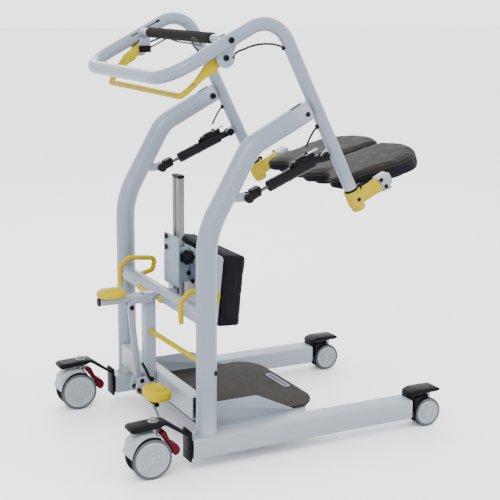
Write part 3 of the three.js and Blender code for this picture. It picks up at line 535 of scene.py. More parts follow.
CLOTH_FRAMES = 20
CLOTH_BULGE = 2.5  # the most that a cover may move, in millimetres


def padded_cover(pad, is_held, is_shaded_side, shaded_side_material):
    """Blows the cover up over its foam with a cloth simulation.

    is_held picks the points, in millimetres, that are stapled down; the second test picks the faces under the
    seam, which get the darker side material as painted shade.
    """
    remesh = pad.modifiers.new("remesh", "REMESH")
    remesh.mode = "VOXEL"
    remesh.voxel_size = 5 * MM
    remesh.use_smooth_shade = True
    apply_modifiers(pad)
    rest = [v.co.copy() for v in pad.data.vertices]
    held = pad.vertex_groups.new(name="held")
    held.add([k for k, p in enumerate(rest) if is_held(p / MM)], 1.0, "REPLACE")
    cloth = pad.modifiers.new("cloth", "CLOTH")
    cloth.settings.quality = 6
    cloth.settings.use_pressure = True
    cloth.settings.uniform_pressure_force = 4
    cloth.settings.bending_stiffness = 2
    cloth.settings.vertex_group_mass = "held"
    cloth.settings.effector_weights.gravity = 0
    cloth.point_cache.frame_end = CLOTH_FRAMES
    for step in range(1, CLOTH_FRAMES + 1):
        bpy.context.scene.frame_set(step)
    apply_modifiers(pad)
    bpy.context.scene.frame_set(1)
    for vertex, start in zip(pad.data.vertices, rest):
        move = vertex.co - start
        if move.length > CLOTH_BULGE * MM:
            vertex.co = start + move * (CLOTH_BULGE * MM / move.length)
    pad.modifiers.new("smooth", "SUBSURF").levels = 1
    apply_modifiers(pad)
    # Faces under the seam take the darker vinyl: painted shade on the cushion's sides.
    pad.data.materials.append(shaded_side_material)
    for face in pad.data.polygons:
        face.use_smooth = True
        face.material_index = 1 if is_shaded_side(face.center / MM) else 0


def cling(path, pad, radius):
    """A loop of piping along a path, drawn onto the nearest points of a pad's surface."""
    laid = []
    for point in path:
        found, nearest, normal, _ = pad.closest_point_on_mesh(Vector(point) * MM)
        laid.append((nearest / MM) + normal * (radius * 0.3) if found else Vector(point))
    return Shape().tube(laid, radius, thread, 10, loop=True)


# ---------------------------------------------------------------- places on the lift

ARM_FOOT, ARM_TOP = Vector((169, 622)), Vector((-61, 1073))
ARM_UP = (ARM_TOP - ARM_FOOT).normalized()
ARM_BACK = Vector((-ARM_UP.y, ARM_UP.x))
PIVOT = Vector((15, 840))
HANDLE_RISE = 0.527
HANDLE_FRONT = -336
GRIP = Vector((-186, 1014))
BAIL_PIVOT = Vector((-188, 973))
GAS_LOW = Vector((-128, 649))
BAIL_BAR = (-284, 886)
LEVER_PIN, LOWER_PIN = (-276, 363), (-278, 150)  # the two pedals' pivots on the centre post
LINK_TOP, LINK_BOTTOM = (-326, 342), (-304, 149)


def on_arm(along, behind=0.0):
    return ARM_FOOT + ARM_UP * along + ARM_BACK * behind


def handle_z(x):
    return ARM_TOP.y - (ARM_TOP.x - x) * HANDLE_RISE


GAS_HIGH = on_arm(143, 30)
GAS_DOWN = (GAS_LOW - GAS_HIGH).normalized()
GAS_ABOVE = Vector((GAS_DOWN.y, -GAS_DOWN.x))
HINGE_TILT = math.radians(27)
HINGE_OUT = Vector((math.cos(HINGE_TILT), math.sin(HINGE_TILT)))


def on_gas(along, above=0.0):
    return GAS_HIGH + GAS_DOWN * along + GAS_ABOVE * above


def on_hinge(along, above=0.0):
    return ARM_FOOT + HINGE_OUT * along + Vector((-HINGE_OUT.y, HINGE_OUT.x)) * above


def axes_along(direction):
    """A block's axes in the side plane: along the direction, across the lift, and up from the two."""
    u = Vector((direction.x, 0, direction.y)).normalized()
    v = Vector((0, 1, 0))
    return u, v, u.cross(v)


# ---------------------------------------------------------------- base frame


def leg(shape):
    def section(x, size):
        return [(x, Y + a, 55 + b) for a, b in rectangle(60 - size, 50 - size, max(5.5 - size / 2, 2), 18)]

    outer = [section(-280.8, 1), section(-280.3, 0), section(345.3, 0), section(345.8, 1)]
    shape.skin(outer + [section(345.8, 6), section(-280.8, 6)], paint, loop=True)
    return shape


UPRIGHT_CORNERS = [(-235, 80.4), (-235, 572), (-123, 768), (15, 840)]


def upright(shape):
    corners = [at(p) for p in UPRIGHT_CORNERS]
    lean = (corners[-1] - corners[-2]).normalized()
    corners[-1] = corners[-1] + lean * 12.5
    path = bent(corners, [200, 90], 4)
    shape.tube(spaced(path, 60), 25, paint, 48, bore=22)
    shape.weld(circle((-235, Y, 81.5), (0, 0, 1), 25.8), paint)
    return shape


def fork_slot(shape):
    lean = (at(UPRIGHT_CORNERS[-1]) - at(UPRIGHT_CORNERS[-2])).normalized()
    up = lean.cross(Vector((0, 1, 0)))
    centre = at(PIVOT) + lean * 8
    shape.block(centre, (74, 16, 90), paint, 7, 0, (lean, Vector((0, 1, 0)), -up))
    return shape


def lug(points, pin, radius, y, thickness, shape, material=paint):
    """A plate from a tube out to a rounded eye about a pin."""
    start, end = (Vector(p) for p in points)
    outward = (pin - (start + end) / 2).normalized()
    side = (end - start).normalized()
    turns = (math.radians(a) for a in range(0, 181, 15))
    eye = [pin + (side * math.cos(t) + outward * math.sin(t)) * radius for t in turns]
    return shape.plate([end] + eye + [start], y, thickness, material, 1.0)


def gas_spring_lug(shape):
    lug(((-184, 641), (-173, 665)), GAS_LOW, 10, Y, 8, shape)
    shape.rod(at(GAS_LOW, Y - 15.5), at(GAS_LOW, Y + 15.5), 4, black_steel)
    return shape


def beam(shape):
    def section(y, size):
        return [(-246 + a, y, 138 + b) for a, b in rectangle(30 - size, 60 - size, max(5 - size / 2, 2), 18)]

    end = 234.3
    shape.skin([section(-end, 0), section(end, 0), section(end, 6), section(-end, 6)], paint, loop=True)
    return shape


def cross_tube(shape):
    path = spaced([Vector((-235, -236.5, 364)), Vector((-235, 236.5, 364))], 60)
    shape.tube(path, 20, paint, 40)
    for side in (-1, 1):
        rim = []
        for k in range(49):
            turn = 2 * math.pi * k / 48
            x, z = 20.8 * math.cos(turn), 20.8 * math.sin(turn)
            rim.append((-235 + x, side * (260 - math.sqrt(26.2 ** 2 - x * x)), 364 + z))
        shape.weld(rim, paint)
    return shape


def centre_post(shape):
    shape.block((-276, 0, 249), (30, 30, 254), paint, 4, 1.2)
    shape.block((-258.5, 0, 364), (8, 26, 16), paint, 2, 1)
    for x, z in (LEVER_PIN, LOWER_PIN):
        shape.rod((x, -21, z), (x, 21, z), 5, zinc)
    return shape


def mast(shape):
    """An extruded bar with a groove down each broad face."""
    outline = [(-8, -20), (8, -20), (8, -7), (4.5, -7), (4.5, 7), (8, 7)]
    outline += [(-x, -y) for x, y in outline]
    outline = rounded(outline, 1.2, 30)
    shape.prism([(-192 + a, b, 352) for a, b in outline], (0, 0, 310), aluminium, 0.6)
    shape.block((-206, 0, 366), (20, 22, 26), paint, 3, 1.2)
    return shape


def mast_cap(shape):
    shape.block((-192, 0, 666.5), (18.6, 42.6, 7.4), black, 3, 1.6)
    return shape


def tray(shape):
    edge = [(-228, -229.6), (59, -229.6), (75, -198), (105, -160), (119, -126)]
    outline = edge + [(x, -y) for x, y in reversed(edge)]
    radii = [2, 14, 14, 20, 16]
    outline = rounded(outline, radii + radii[::-1])
    shape.prism([(x, y, 72) for x, y in outline], (0, 0, 4), paint, 0.9)
    cheek = [(-228, 75.6), (41, 75.6), (39, 79), (-68, 131), (-228, 131)]
    for side in (-1, 1):
        shape.plate(rounded(cheek, [1, 1, 8, 24, 3]), side * 200, 4, paint, 1.2)
    return shape


MAT_FRONT = 124
SLOT_X, SLOT_HALF = 101, 56


def mat(shape):
    """The moulded mat, with rounded front corners and a bevelled rim."""
    arc = [(MAT_FRONT - 62 * (1 - math.sin(t)) - 6 * math.cos(t), -122 - 73 * math.cos(t))
           for t in (math.radians(a) for a in range(0, 91, 9))]
    edge = [(-226, -195)] + arc
    outline = edge + [(x, -y) for x, y in reversed(edge)]
    shape.prism([(x, y, 76.4) for x, y in outline], (0, 0, 7.6), mat_rubber, 2.2, 3)
    return shape


def slot_cutter(shape):
    outline = rounded([(SLOT_X - 6.5, -SLOT_HALF), (SLOT_X + 6.5, -SLOT_HALF), (SLOT_X + 6.5, SLOT_HALF),
                       (SLOT_X - 6.5, SLOT_HALF)], 6.4)
    shape.prism([(x, y, 60) for x, y in outline], (0, 0, 40), mat_rubber, 0)
    return shape


def slot_rim(shape):
    """A pale trim that lines the slot, just proud of the mat."""
    def ring(grow, height):
        loop = rectangle(13 + 2 * grow, 2 * (SLOT_HALF + grow), 6.4 + grow)
        return [(SLOT_X + a, b, height) for a, b in loop]

    shape.skin([ring(-0.6, 77), ring(-0.6, 84.8), ring(2.4, 84.8), ring(2.4, 83)], hood_grey, loop=True)
    return shape


def strap_hook(shape):
    route = [(-219, 370), (-182, 380), (-174, 412), (-250, 420), (-275, 398), (-274, 346)]
    path = bent([at(p, -200) for p in route], [8, 12, 16, 18], 10)
    shape.tube(path, 6.4, yellow_paint, 24, dome=3)
    return shape


def lower_bar(shape):
    start, end = Vector((-273.5, -16, 274.5)), Vector((-237.5, -235.5, 251.6))
    shape.tube(spaced([start, end], 40), 6.4, yellow_paint, 24)
    shape.weld(circle(start, end - start, 7), yellow_paint, 1.6)
    shape.weld(circle(end, end - start, 7), yellow_paint, 1.6)
    return shape


def yellow_rail(shape):
    """A yellow guard strip on the back of the cross tube, in two lengths beside the centre post."""
    for y, length in ((69.5, 105), (-27, 20)):
        shape.block((-255.6, y, 359), (8, length, 15), yellow_paint, 2, 1.6)
    return shape


# ---------------------------------------------------------------- castors


def bracket(shape, outline, half_width, stem_x, top, radii):
    shape.plate(rounded(outline, radii), Y, 2 * half_width, black, 2.6)
    if stem_x < 0:
        washer = [(0, 0), (13, 0), (13, 2.5), (11.5, 3.5), (0, 3.5)]
        shape.lathe((stem_x, Y, top - 2), (0, 0, 1), washer, zinc, 32)
        shape.hexagon((stem_x, Y, top + 1.5), (0, 0, 1), 9, 6, zinc)
    return shape


REAR_BRACKET = [(-281.4, 22), (-281.4, 99), (-288, 99), (-288, 91), (-344, 133), (-360, 135), (-430, 132),
                (-437.5, 127), (-437, 120), (-428, 118), (-362, 122), (-351, 127.5), (-288, 84.5), (-288, 22)]
REAR_RADII = [2.5, 2.5, 2.5, 3, 10, 12, 5, 3, 3, 5, 20, 14, 3, 2.5]
FRONT_BRACKET = [(346.4, 32), (352, 32), (352, 88), (362, 92), (430, 92), (436.5, 95), (436.5, 99),
                 (428, 103), (364, 104), (346.4, 97)]
FRONT_RADII = [2, 2, 8, 8, 3, 2, 2, 6, 16, 6]


class Castor:
    def __init__(self, stem_x, axle_x, radius, web, width, hood_radius, hood_top, hood_front, shell):
        self.stem_x, self.axle_x, self.radius = stem_x, axle_x, radius
        self.web, self.width, self.hood_radius = web, width, hood_radius
        self.hood_top, self.hood_front, self.shell = hood_top, hood_front, shell


REAR = Castor(-373, -386, 50, 11, 20, 63, 112, -374, hood_grey)
FRONT = Castor(411, 399, 38.8, 10, 18, 56, 84, 404, black)


def hood(shape, castor):
    """A shell over the two wheels: the wheels' outline swept across, pinched in to a rounded crown."""
    top, radius = castor.hood_top, castor.hood_radius
    rear = castor.stem_x - radius
    half = castor.web + castor.width
    inner = castor.radius + 3
    start, stop = math.radians(170), math.radians(62 if castor is REAR else 84)
    axle = Vector((castor.axle_x, castor.radius))
    rows = []
    for k in range(25):
        turn = start + (stop - start) * k / 24
        out = Vector((math.cos(turn), math.sin(turn)))
        reach = (top - castor.radius) / max(0.35, math.sin(turn)) if math.sin(turn) > 0 else 1e9
        side = (rear - castor.axle_x) / out.x if out.x < -0.05 else 1e9
        front = (castor.hood_front - castor.axle_x) / out.x if out.x > 0.05 else 1e9
        outer = min(reach, side, front, radius + 4)
        outer = max(outer, inner + 2.5)
        crown = max(0.0, math.sin(turn))
        width = half - 10 * crown ** 2
        ring = []
        for a in range(-90, 91, 15):
            t = math.radians(a)
            y = Y + width * math.copysign(abs(math.sin(t)) ** 0.55, t)
            r = inner + (outer - inner) * abs(math.cos(t)) ** 0.4
            p = axle + out * r
            ring.append((p.x, y, p.y))
        for a in range(60, -61, -30):
            y = Y + (width - 2) * math.sin(math.radians(a)) / math.sin(math.radians(60))
            p = axle + out * inner
            ring.append((p.x, y, p.y))
        rows.append(ring)
    shape.skin(rows, castor.shell)
    shape.rod((castor.stem_x, Y, top - 14), (castor.stem_x, Y, top + 4.4), 9, zinc)
    shape.plate(
        [(castor.axle_x - 12, castor.radius - 12), (castor.axle_x + 12, castor.radius - 12),
         (castor.axle_x + 20, top - 12), (castor.axle_x - 30, top - 12)],
        Y, 2 * castor.web - 3, castor.shell, 1.5, 5)
    return shape


def wheels(shape, castor):
    """Twin wheels: a tyre round a dished disc with a ring, turned rings of relief and a hub cap on each side.
    """
    r, inner, outer = castor.radius, castor.web + 1, castor.web + castor.width
    centre = Vector((castor.axle_x, Y, castor.radius))
    tread = [(r - 9, inner), (r - 2.6, inner), (r - 0.8, inner + 1.4), (r, inner + 4), (r, outer - 7),
             (r - 0.5, outer - 4.6), (r - 1.2, outer - 4), (r - 9, outer - 4)]
    wall = [(r - 9, outer - 4.2), (r - 1.1, outer - 4.2), (r - 1.2, outer - 2.4), (r - 2.6, outer - 0.9),
            (r - 4.6, outer - 0.3), (r - 6.2, outer - 0.9), (r - 6.9, outer - 2.6), (r - 9, outer - 3)]
    rim = r - 7
    rings = [(1.0, 2.2), (0.96, 0.8), (0.89, 0.8), (0.86, 3.6), (0.66, 4.2), (0.63, 1.8), (0.58, 1.8),
             (0.55, 4.4), (0.42, 4.4), (0.39, 1.6), (0.31, 1.3), (0.28, 3.2), (0.2, 3.2), (0.18, 1.2),
             (0.08, 0.9)]
    disc = [(0, inner + 1), (rim, inner + 1)] + [(rim * share, outer - depth) for share, depth in rings]
    for side in (-1, 1):
        shape.lathe(centre, (0, side, 0), tread, tyre, 72, closed=True)
        shape.lathe(centre, (0, side, 0), wall, sidewall, 72, closed=True)
        shape.lathe(centre, (0, side, 0), disc + [(0, outer - 0.9)], disc_grey, 72)
    shape.rod(centre - Vector((0, inner + 2, 0)), centre + Vector((0, inner + 2, 0)), 6, zinc)
    return shape


def brake_pedal(shape):
    """A moulded foot lever, hooked over the hood at the top and scooped for a toe below."""
    outline = [(-360, 101), (-359, 110), (-346, 109), (-338, 90), (-327, 77), (-316, 71), (-309, 60),
               (-313, 48), (-323, 44), (-331, 52), (-335, 68), (-349, 89)]
    shape.plate(rounded(outline, [4, 3, 4, 16, 16, 6, 7, 6, 5, 8, 16, 8]), Y, 33.6, crimson, 3, 0)
    for k in range(4):
        x, z = -310.2 - k * 1.5, 57 - k * 3.4
        shape.rod((x, Y - 12, z), (x, Y + 12, z), 1.1, crimson, 10, 0.3)
    return shape


# ---------------------------------------------------------------- lift arms, handle and bail


def arm_frame(shape):
    """Both arm tubes and the handle loop: one bent tube from foot to foot."""
    half = [at(on_arm(8)), at(ARM_TOP), (HANDLE_FRONT, Y, handle_z(HANDLE_FRONT))]
    corners = half + [(p[0], -p[1], p[2]) for p in reversed(half)]
    path = bent(corners, [70, 75, 75, 70], 5)
    shape.tube(spaced(path, 50), 16, paint, 40, bore=13.5)
    return shape


def arm_fittings(shape):
    """Everything welded or screwed to one arm tube: lugs, bail plate, screws and cable grommets."""
    pivot_along = ARM_UP.dot(PIVOT - ARM_FOOT)
    lug((on_arm(pivot_along - 24, 10), on_arm(pivot_along + 24, 10)), PIVOT, 17, Y, 12, shape)
    lug((on_arm(129, 10), on_arm(157, 10)), GAS_HIGH, 9, Y, 8, shape)
    shape.rod(at(GAS_HIGH, Y - 15.5), at(GAS_HIGH, Y + 15.5), 4, black_steel)
    bx = BAIL_PIVOT.x
    root = [(x, handle_z(x) - 10) for x in (bx + 30, bx - 22)]
    lobe = [BAIL_PIVOT + Vector((math.cos(t), math.sin(t))) * 23
            for t in (math.radians(a) for a in range(150, 391, 12))]
    shape.plate(root + lobe, Y, 6, paint, 1.2)
    shape.bolt(at(BAIL_PIVOT, Y - 3), (0, -1, 0), 7, 5, black_steel)
    shape.rod(at(BAIL_PIVOT, Y + 3), at(BAIL_PIVOT, Y + 17), 5, zinc)
    shape.block(at((-181, 969), Y + 21.5), (34, 8, 17), black, 4, 2.2)
    shape.block(at((-180, 988), Y + 17), (30, 5, 22), paint, 3, 1)
    shape.bolt((-181, Y - 15.4, 1013), (0, -1, 0), 7.5, 4, black_steel)
    for place, out in ((Vector((-38, 993)), (-0.80, 0.36)), (Vector((56, 807)), ARM_BACK)):
        out = Vector((out[0], 0, out[1])).normalized()
        shape.rod(at(place) - out * 2, at(place) + out * 3.6, 6.2, black, 24, 1.4, bore=3)
    return shape


def grip_bar(shape):
    shape.tube(spaced([Vector((GRIP.x, -246.5, GRIP.y)), Vector((GRIP.x, 246.5, GRIP.y))], 60), 10, paint, 32)
    for side in (-1, 1):
        shape.weld(circle((GRIP.x, side * 246.6, GRIP.y), (0, 1, 0), 10.6), paint, 2)
    return shape


def grip_foam(shape):
    """The foam sleeve, uneven where hands have squeezed it."""
    def size(t):
        y = (t - 0.5) * 380
        end = min(1.0, (190 - abs(y)) / 3.5)
        swell = 0.35 * noise.noise(Vector((y * 0.018, 3.1, 0)))
        swell += 0.12 * noise.noise(Vector((y * 0.09, 7.7, 0)))
        r = 10.4 + (3.0 + swell) * math.sqrt(max(0.0, 1 - (1 - end) ** 2))
        return r, r

    path = spaced([Vector((GRIP.x, -190, GRIP.y)), Vector((GRIP.x, 190, GRIP.y))], 2.0)
    shape.tube(path, size, foam, 40)
    return shape


def cross_cable(shape):
    """The thin cable behind the foam from one release lever to the other, and a run on the far tube."""
    path = smooth_curve([
        (-170, 236, 972), (-146, 232, 984), (-130, 218, 996), (-134, 190, 1003), (-152, 150, 1001),
        (-166, 60, 996), (-172, -60, 995), (-192, -140, 994), (-222, -196, 1004), (-248, -218, 1016),
        (-256, -226, 1008), (-244, -232, 990), (-214, -237, 976),
    ])
    shape.tube(path, 2.1, cable_black, 12)
    on_top = [Vector((x, 247, handle_z(x) + 10)) for x in (-216, -136)]
    shape.tube(spaced(on_top, 20), 1.7, cable_black, 12)
    shape.rod(on_top[1].lerp(on_top[0], 0.12), on_top[1], 3, black, 20, 0.8)
    return shape


def bail(shape):
    """A squeeze bar: wide forged arms that turn on the pins, welded to a round bar across the front."""
    px, pz = BAIL_PIVOT
    strap = [(12, -10), (-6, -15), (-20, -33), (-44, -45), (-68, -62), (-74, -52), (-58, -32), (-48, -18),
             (-26, -2), (-6, 13)]
    strap = rounded([(px + x, pz + z) for x, z in strap], [3, 8, 8, 12, 4, 4, 14, 14, 14, 4], 10)
    half = [(px - 9, -248, pz - 7), (px - 30, -248, pz - 24), at(BAIL_BAR, -230)]
    corners = half + [(x, -y, z) for x, y, z in reversed(half)]
    shape.tube(spaced(bent(corners, [30, 22, 22, 30], 8), 9), 6.9, yellow_paint, 28)
    for side in (-1, 1):
        shape.plate(strap, side * 248, 10.6, yellow_paint, 3.4)
        shape.rod((px, side * 242.6, pz), (px, side * 253.4, pz), 14.8, yellow_paint, 40, 2.6)
        shape.weld(circle(at(BAIL_BAR, side * 208), (0, 1, 0), 6.9), yellow_paint, 0.6)
    return shape


# ---------------------------------------------------------------- gas springs and cables


def gas_cylinder(shape):
    axes = axes_along(GAS_DOWN)
    shape.rod(at(on_gas(33)), at(on_gas(165.6)), 14, black_steel, 40, 1.6, bore=11.5)
    shape.rod(at(on_gas(158)), at(on_gas(163)), 11.6, black, 40, 0.5)
    shape.rod(at(on_gas(34)), at(on_gas(38)), 11.6, black, 40, 0.5)
    shape.rod(at(on_gas(12)), at(on_gas(34)), 10, black_steel, 32, 1)
    for y in (Y - 8.4, Y + 8.4):
        shape.rod(at(GAS_HIGH, y - 3.3), at(GAS_HIGH, y + 3.3), 10.6, black_steel, 32, 1)
        shape.block(at(on_gas(8), y), (16, 6.4, 14), black_steel, 2, 1, axes)
    shape.block(at(on_gas(57, 16)), (62, 17.6, 15.6), black, 4, 2, axes)
    shape.block(at(on_gas(62, 24)), (26, 12, 6), black, 3, 1.4, axes)
    shape.bolt(at(on_gas(40, 16), Y - 8.6), (0, -1, 0), 3.6, 2, black_steel)
    shape.bolt(at(on_gas(76, 16), Y - 8.6), (0, -1, 0), 3.6, 2, black_steel)
    shape.block(at(on_gas(42, 24.6)), (62, 11, 3), zinc, 2, 0.8, axes)
    shape.rod(at(on_gas(48, 22)), at(on_gas(41, 29)), 4.2, black_steel, 20, 0.8)
    shape.rod(at(on_gas(88, 17)), at(on_gas(96, 17)), 3.4, black_steel, 20, 0.8)
    for along in (104, 150):
        shape.rod(at(on_gas(along)), at(on_gas(along + 5)), 14.7, black_steel, 40, 0.6)
    return shape


def gas_rod(shape):
    axes = axes_along(GAS_DOWN)
    length = (GAS_HIGH - GAS_LOW).length
    shape.rod(at(on_gas(92)), at(on_gas(length - 12)), 4.5, rod_steel, 28, 0.6)
    shape.rod(at(on_gas(92)), at(on_gas(97)), 10.8, black, 32, 0.8)
    shape.rod(at(on_gas(length - 33)), at(on_gas(length - 14)), 12, black_steel, 32, 1.6)
    shape.block(at(on_gas(length - 22, 6)), (26, 24, 16), black, 4, 2, axes)
    for y in (Y - 8.8, Y + 8.8):
        shape.rod(at(GAS_LOW, y - 3.6), at(GAS_LOW, y + 3.6), 12.6, black_steel, 32, 1.2)
        shape.block(at(on_gas(length - 9), y), (18, 6.6, 18), black_steel, 3, 1, axes)
    shape.bolt(at(GAS_LOW, Y - 12.2), (0, -1, 0), 6, 2.6, black_steel)
    return shape


CABLE_ROUTE = [
    (-170, 974), (-164, 982), (-154, 988), (-141, 992), (-124, 998), (-104, 1002), (-82, 1003), (-60, 1001),
    (-42, 995), (-26, 985), (-14, 970), (-5, 953), (4, 936), (22, 901), (40, 866), (54, 840), (60, 822),
    (56, 808), (46, 796), (37, 782), (30, 768), (25, 759),
]


def release_cable(shape):
    shape.tube(smooth_curve([at(p) for p in CABLE_ROUTE]), 2.5, cable_black, 14)
    shape.rod(at((-172, 971)), at((-166, 979)), 3.6, black, 20, 0.8)
    return shape


# ---------------------------------------------------------------- seat

SEAT_TILT = math.radians(14)
SEAT_TOP, SEAT_THICK = 42, 46
SEAT_SEAM = 9  # the seam is this far below the top
SEAT_TAPER, SEAT_TAPER_FROM = 0.065, 280  # the cushion thins out towards its lower end
SEAT_OUTLINE = [
    (15, 5), (-4, 16), (-10, 42), (-2, 68), (14, 88), (19, 106), (12, 126), (-2, 148), (-4, 172), (10, 192),
    (45, 203), (90, 208), (130, 214), (168, 220), (202, 216), (233, 197), (258, 163), (273, 120), (276, 70),
    (264, 24), (240, 6), (180, 4),
]


def on_seat(along, out, height):
    """A point on the near seat: up its slope from the hinge, out from the middle, and above its plane."""
    x = ARM_FOOT.x + along * math.cos(SEAT_TILT) - height * math.sin(SEAT_TILT)
    z = ARM_FOOT.y + along * math.sin(SEAT_TILT) + height * math.cos(SEAT_TILT)
    return Vector((x, -out, z))


def seat_underside(along):
    return SEAT_TOP - SEAT_THICK + SEAT_TAPER * (SEAT_TAPER_FROM - along)


def closed_curve(points, per_span=6):
    points = [Vector((a, b, 0)) for a, b in points]
    count = len(points)
    path = []
    for k in range(count):
        a, b, c, d = (points[(k + i) % count] for i in (-1, 0, 1, 2))
        path += interpolate_bezier(b, b + (c - a) / 6, c - (d - b) / 6, c, per_span + 1)[:-1]
    return [(p.x, p.y) for p in path]


def inset(outline, amount):
    """The outline drawn in by amount along its normals."""
    count = len(outline)
    area = sum(outline[k - 1][0] * outline[k][1] - outline[k][0] * outline[k - 1][1] for k in range(count))
    sign = math.copysign(1.0, area)
    result = []
    for k in range(count):
        before, after = Vector(outline[k - 1]), Vector(outline[(k + 1) % count])
        along = (after - before).normalized()
        result.append((outline[k][0] - sign * along.y * amount, outline[k][1] + sign * along.x * amount))
    return result


def seat_pad(shape):
    """The cushion: rounded over its rim, crowned on top and flat below."""
    outline = closed_curve(SEAT_OUTLINE, 6)
    centre = Vector((120, 112))
    rings = []
    for amount, drop, below in ((16, 0.0, 0), (8, 0.5, 0), (3.5, 1.8, 0), (1, 4.6, 0), (0, 8, 0), (0, 0, 1),
                                (3, 0, 2)):
        ring = []
        for along, out in inset(outline, amount):
            under = seat_underside(along)
            height = SEAT_TOP - drop if not below else under + (4 if below == 1 else 0.2)
            ring.append(on_seat(along, out, height))
        rings.append(ring)
    top = []
    for shrink, rise in ((0.72, 0.6), (0.45, 1.0), (0.2, 1.2)):
        ring = []
        for along, out in inset(outline, 16):
            p = centre.lerp(Vector((along, out)), shrink)
            ring.append(on_seat(p.x, p.y, SEAT_TOP + rise))
        top.append(ring)
    cap = [on_seat(centre.x, centre.y, SEAT_TOP + 1.2)]
    bottom = []
    for shrink in (0.6, 0.25):
        ring = []
        for along, out in inset(outline, 3):
            p = centre.lerp(Vector((along, out)), shrink)
            ring.append(on_seat(p.x, p.y, seat_underside(p.x) + 0.2))
        bottom.append(ring)
    under_cap = [on_seat(centre.x, centre.y, seat_underside(centre.x) + 0.2)]
    shape.skin([cap] + top[::-1] + rings + bottom + [under_cap], seat_vinyl, caps=False)
    return shape


def seat_height(point):
    """How far a point, on either seat, is along its slope and above its plane."""
    x, z = point.x - ARM_FOOT.x, point.z - ARM_FOOT.y
    c, s = math.cos(SEAT_TILT), math.sin(SEAT_TILT)
    return x * c + z * s, z * c - x * s


def seat_held(point):
    along, height = seat_height(point)
    return height < seat_underside(along) + 3


# Faces below the seam, which take the darker vinyl as painted shade.
def seat_shaded_side(point):
    return seat_height(point)[1] < SEAT_TOP - SEAT_SEAM


def seat_seam(pad, side):
    """The sewn seam round the cushion, laid on its finished surface; side is -1 for near and 1 for far."""
    path = [on_seat(along, -side * out, SEAT_TOP - SEAT_SEAM)
            for along, out in inset(closed_curve(SEAT_OUTLINE, 6), -0.2)]
    return cling(path, pad, 1.2)


def seat_bracket(shape):
    """The bracket that carries the cushion's board: a sleeve on the hinge pin, an arm and a foot."""
    axes = axes_along(HINGE_OUT)
    shape.rod(at(on_hinge(73.4)), at(on_hinge(106.6)), 17, hood_grey, 40, 2.4)
    shape.block(at(on_hinge(90, 4), Y), (33, 36, 26), hood_grey, 4, 2, axes)
    shape.rod(at(on_hinge(30)), at(on_hinge(80)), 8, zinc, 32, 0.8)
    for along, above in ((77, 14), (83, -8)):
        shape.bolt(at(on_hinge(along, above), Y - 17.6), (0, -1, 0), 5.5, 4, black_steel)
    u = Vector((math.cos(SEAT_TILT), 0, math.sin(SEAT_TILT)))
    w = Vector((-math.sin(SEAT_TILT), 0, math.cos(SEAT_TILT)))
    axes = (u, Vector((0, 1, 0)), w)
    shape.block(on_seat(93, 211, -1), (32, 102, 9), hood_grey, 3, 1.6, axes)
    shape.block(on_seat(93, 252, 6), (30, 20, 23), hood_grey, 4, 2, axes)
    board = [(110 + (a - 110) * 0.8, 110 + (b - 110) * 0.8) for a, b in closed_curve(SEAT_OUTLINE, 3)]
    rings = []
    for amount, drop in ((0, 0.6), (0, 7), (2, 8.4)):
        rings.append([on_seat(a, b, seat_underside(a) - drop) for a, b in inset(board, amount)])
    shape.skin(rings, black, caps=True)
    return shape


def seat_casting(shape):
    """The yellow hinge casting: a socket on the arm's foot, a sleeve along the hinge and a boss below."""
    shape.rod(at(on_arm(-14)), at(on_arm(26)), 20.4, yellow_paint, 44, 2.6)
    shape.rod(at(on_arm(24)), at(on_arm(33)), 17.4, black, 40, 1.4, bore=16.2)
    boss = [(0, -6), (17.8, -6), (17.8, 10), (16, 14.5), (11, 17), (0, 17.4)]
    shape.lathe(at(on_arm(-12)), -at(ARM_UP, 0), boss, yellow_paint, 44)
    sleeve = [(0, 0), (17.8, 0), (17.8, 58), (18.8, 60), (18.8, 70), (17, 72), (8.7, 72), (8.7, 66), (0, 66)]
    shape.lathe(at(on_hinge(0)), at(HINGE_OUT, 0), sleeve, yellow_paint, 44)
    shape.tube(circle(at(on_arm(25)), at(ARM_UP, 0), 18.6)[:-1], 2.6, yellow_paint, 14, loop=True)
    shape.bolt(at(on_arm(4), Y - 20.2), (0, -1, 0), 5, 3, black_steel)
    shape.block(at((176, 655), Y - 2), (14, 12, 11), black, 3, 1.6, axes_along(HINGE_OUT))
    return shape


# ---------------------------------------------------------------- knee support

KNEE_TILT = math.radians(5.6)
KNEE_PLACE = Vector((-114, 0, 394))
KNEE_SIZE = (60, 310, 181)
KNEE_SEAM = 9  # the seam is this far behind the face
KNOB = Vector((-187, 466))


def on_knee(forward, y, up):
    turn = Matrix.Rotation(KNEE_TILT, 3, "Y")
    return KNEE_PLACE + turn @ Vector((forward, y, up))


def knee_pad(shape):
    depth, width, height = KNEE_SIZE
    half = depth / 2
    profile = [(20, -half + 0.5), (0, -half + 0.5), (0, -half + 6), (0, half - 5), (0.8, half - 2),
               (2.6, half - 0.6), (8, half)]
    rings = []
    for amount, forward in profile:
        ring = rectangle(width - 2 * amount, height - 2 * amount, max(9 - amount, 3), 9)
        rings.append([on_knee(forward, y, z) for y, z in ring])

    def across(forward, edge, corner, shares):
        """Rings over a flat face, each a share of its outline's size."""
        loop = rectangle(width - edge, height - edge, corner, 9)
        return [[on_knee(forward, y * s, z * s) for y, z in loop] for s in shares]

    back = [[on_knee(-half + 0.5, 0, 0)]] + across(-half + 0.5, 40, 8, (0.3, 0.7))
    front = across(half, 22, 17, (0.75, 0.45, 0.2)) + [[on_knee(half, 0, 0)]]
    shape.skin(back + rings + front, knee_vinyl, caps=False)
    return shape


def knee_depth(point):
    """How far a point is in front of the knee pad's middle."""
    return (Matrix.Rotation(-KNEE_TILT, 3, "Y") @ (point - KNEE_PLACE)).x


def knee_held(point):
    return knee_depth(point) < 4 - KNEE_SIZE[0] / 2


# Faces behind the seam, which take the darker vinyl as painted shade.
def knee_shaded_side(point):
    return knee_depth(point) < KNEE_SIZE[0] / 2 - KNEE_SEAM


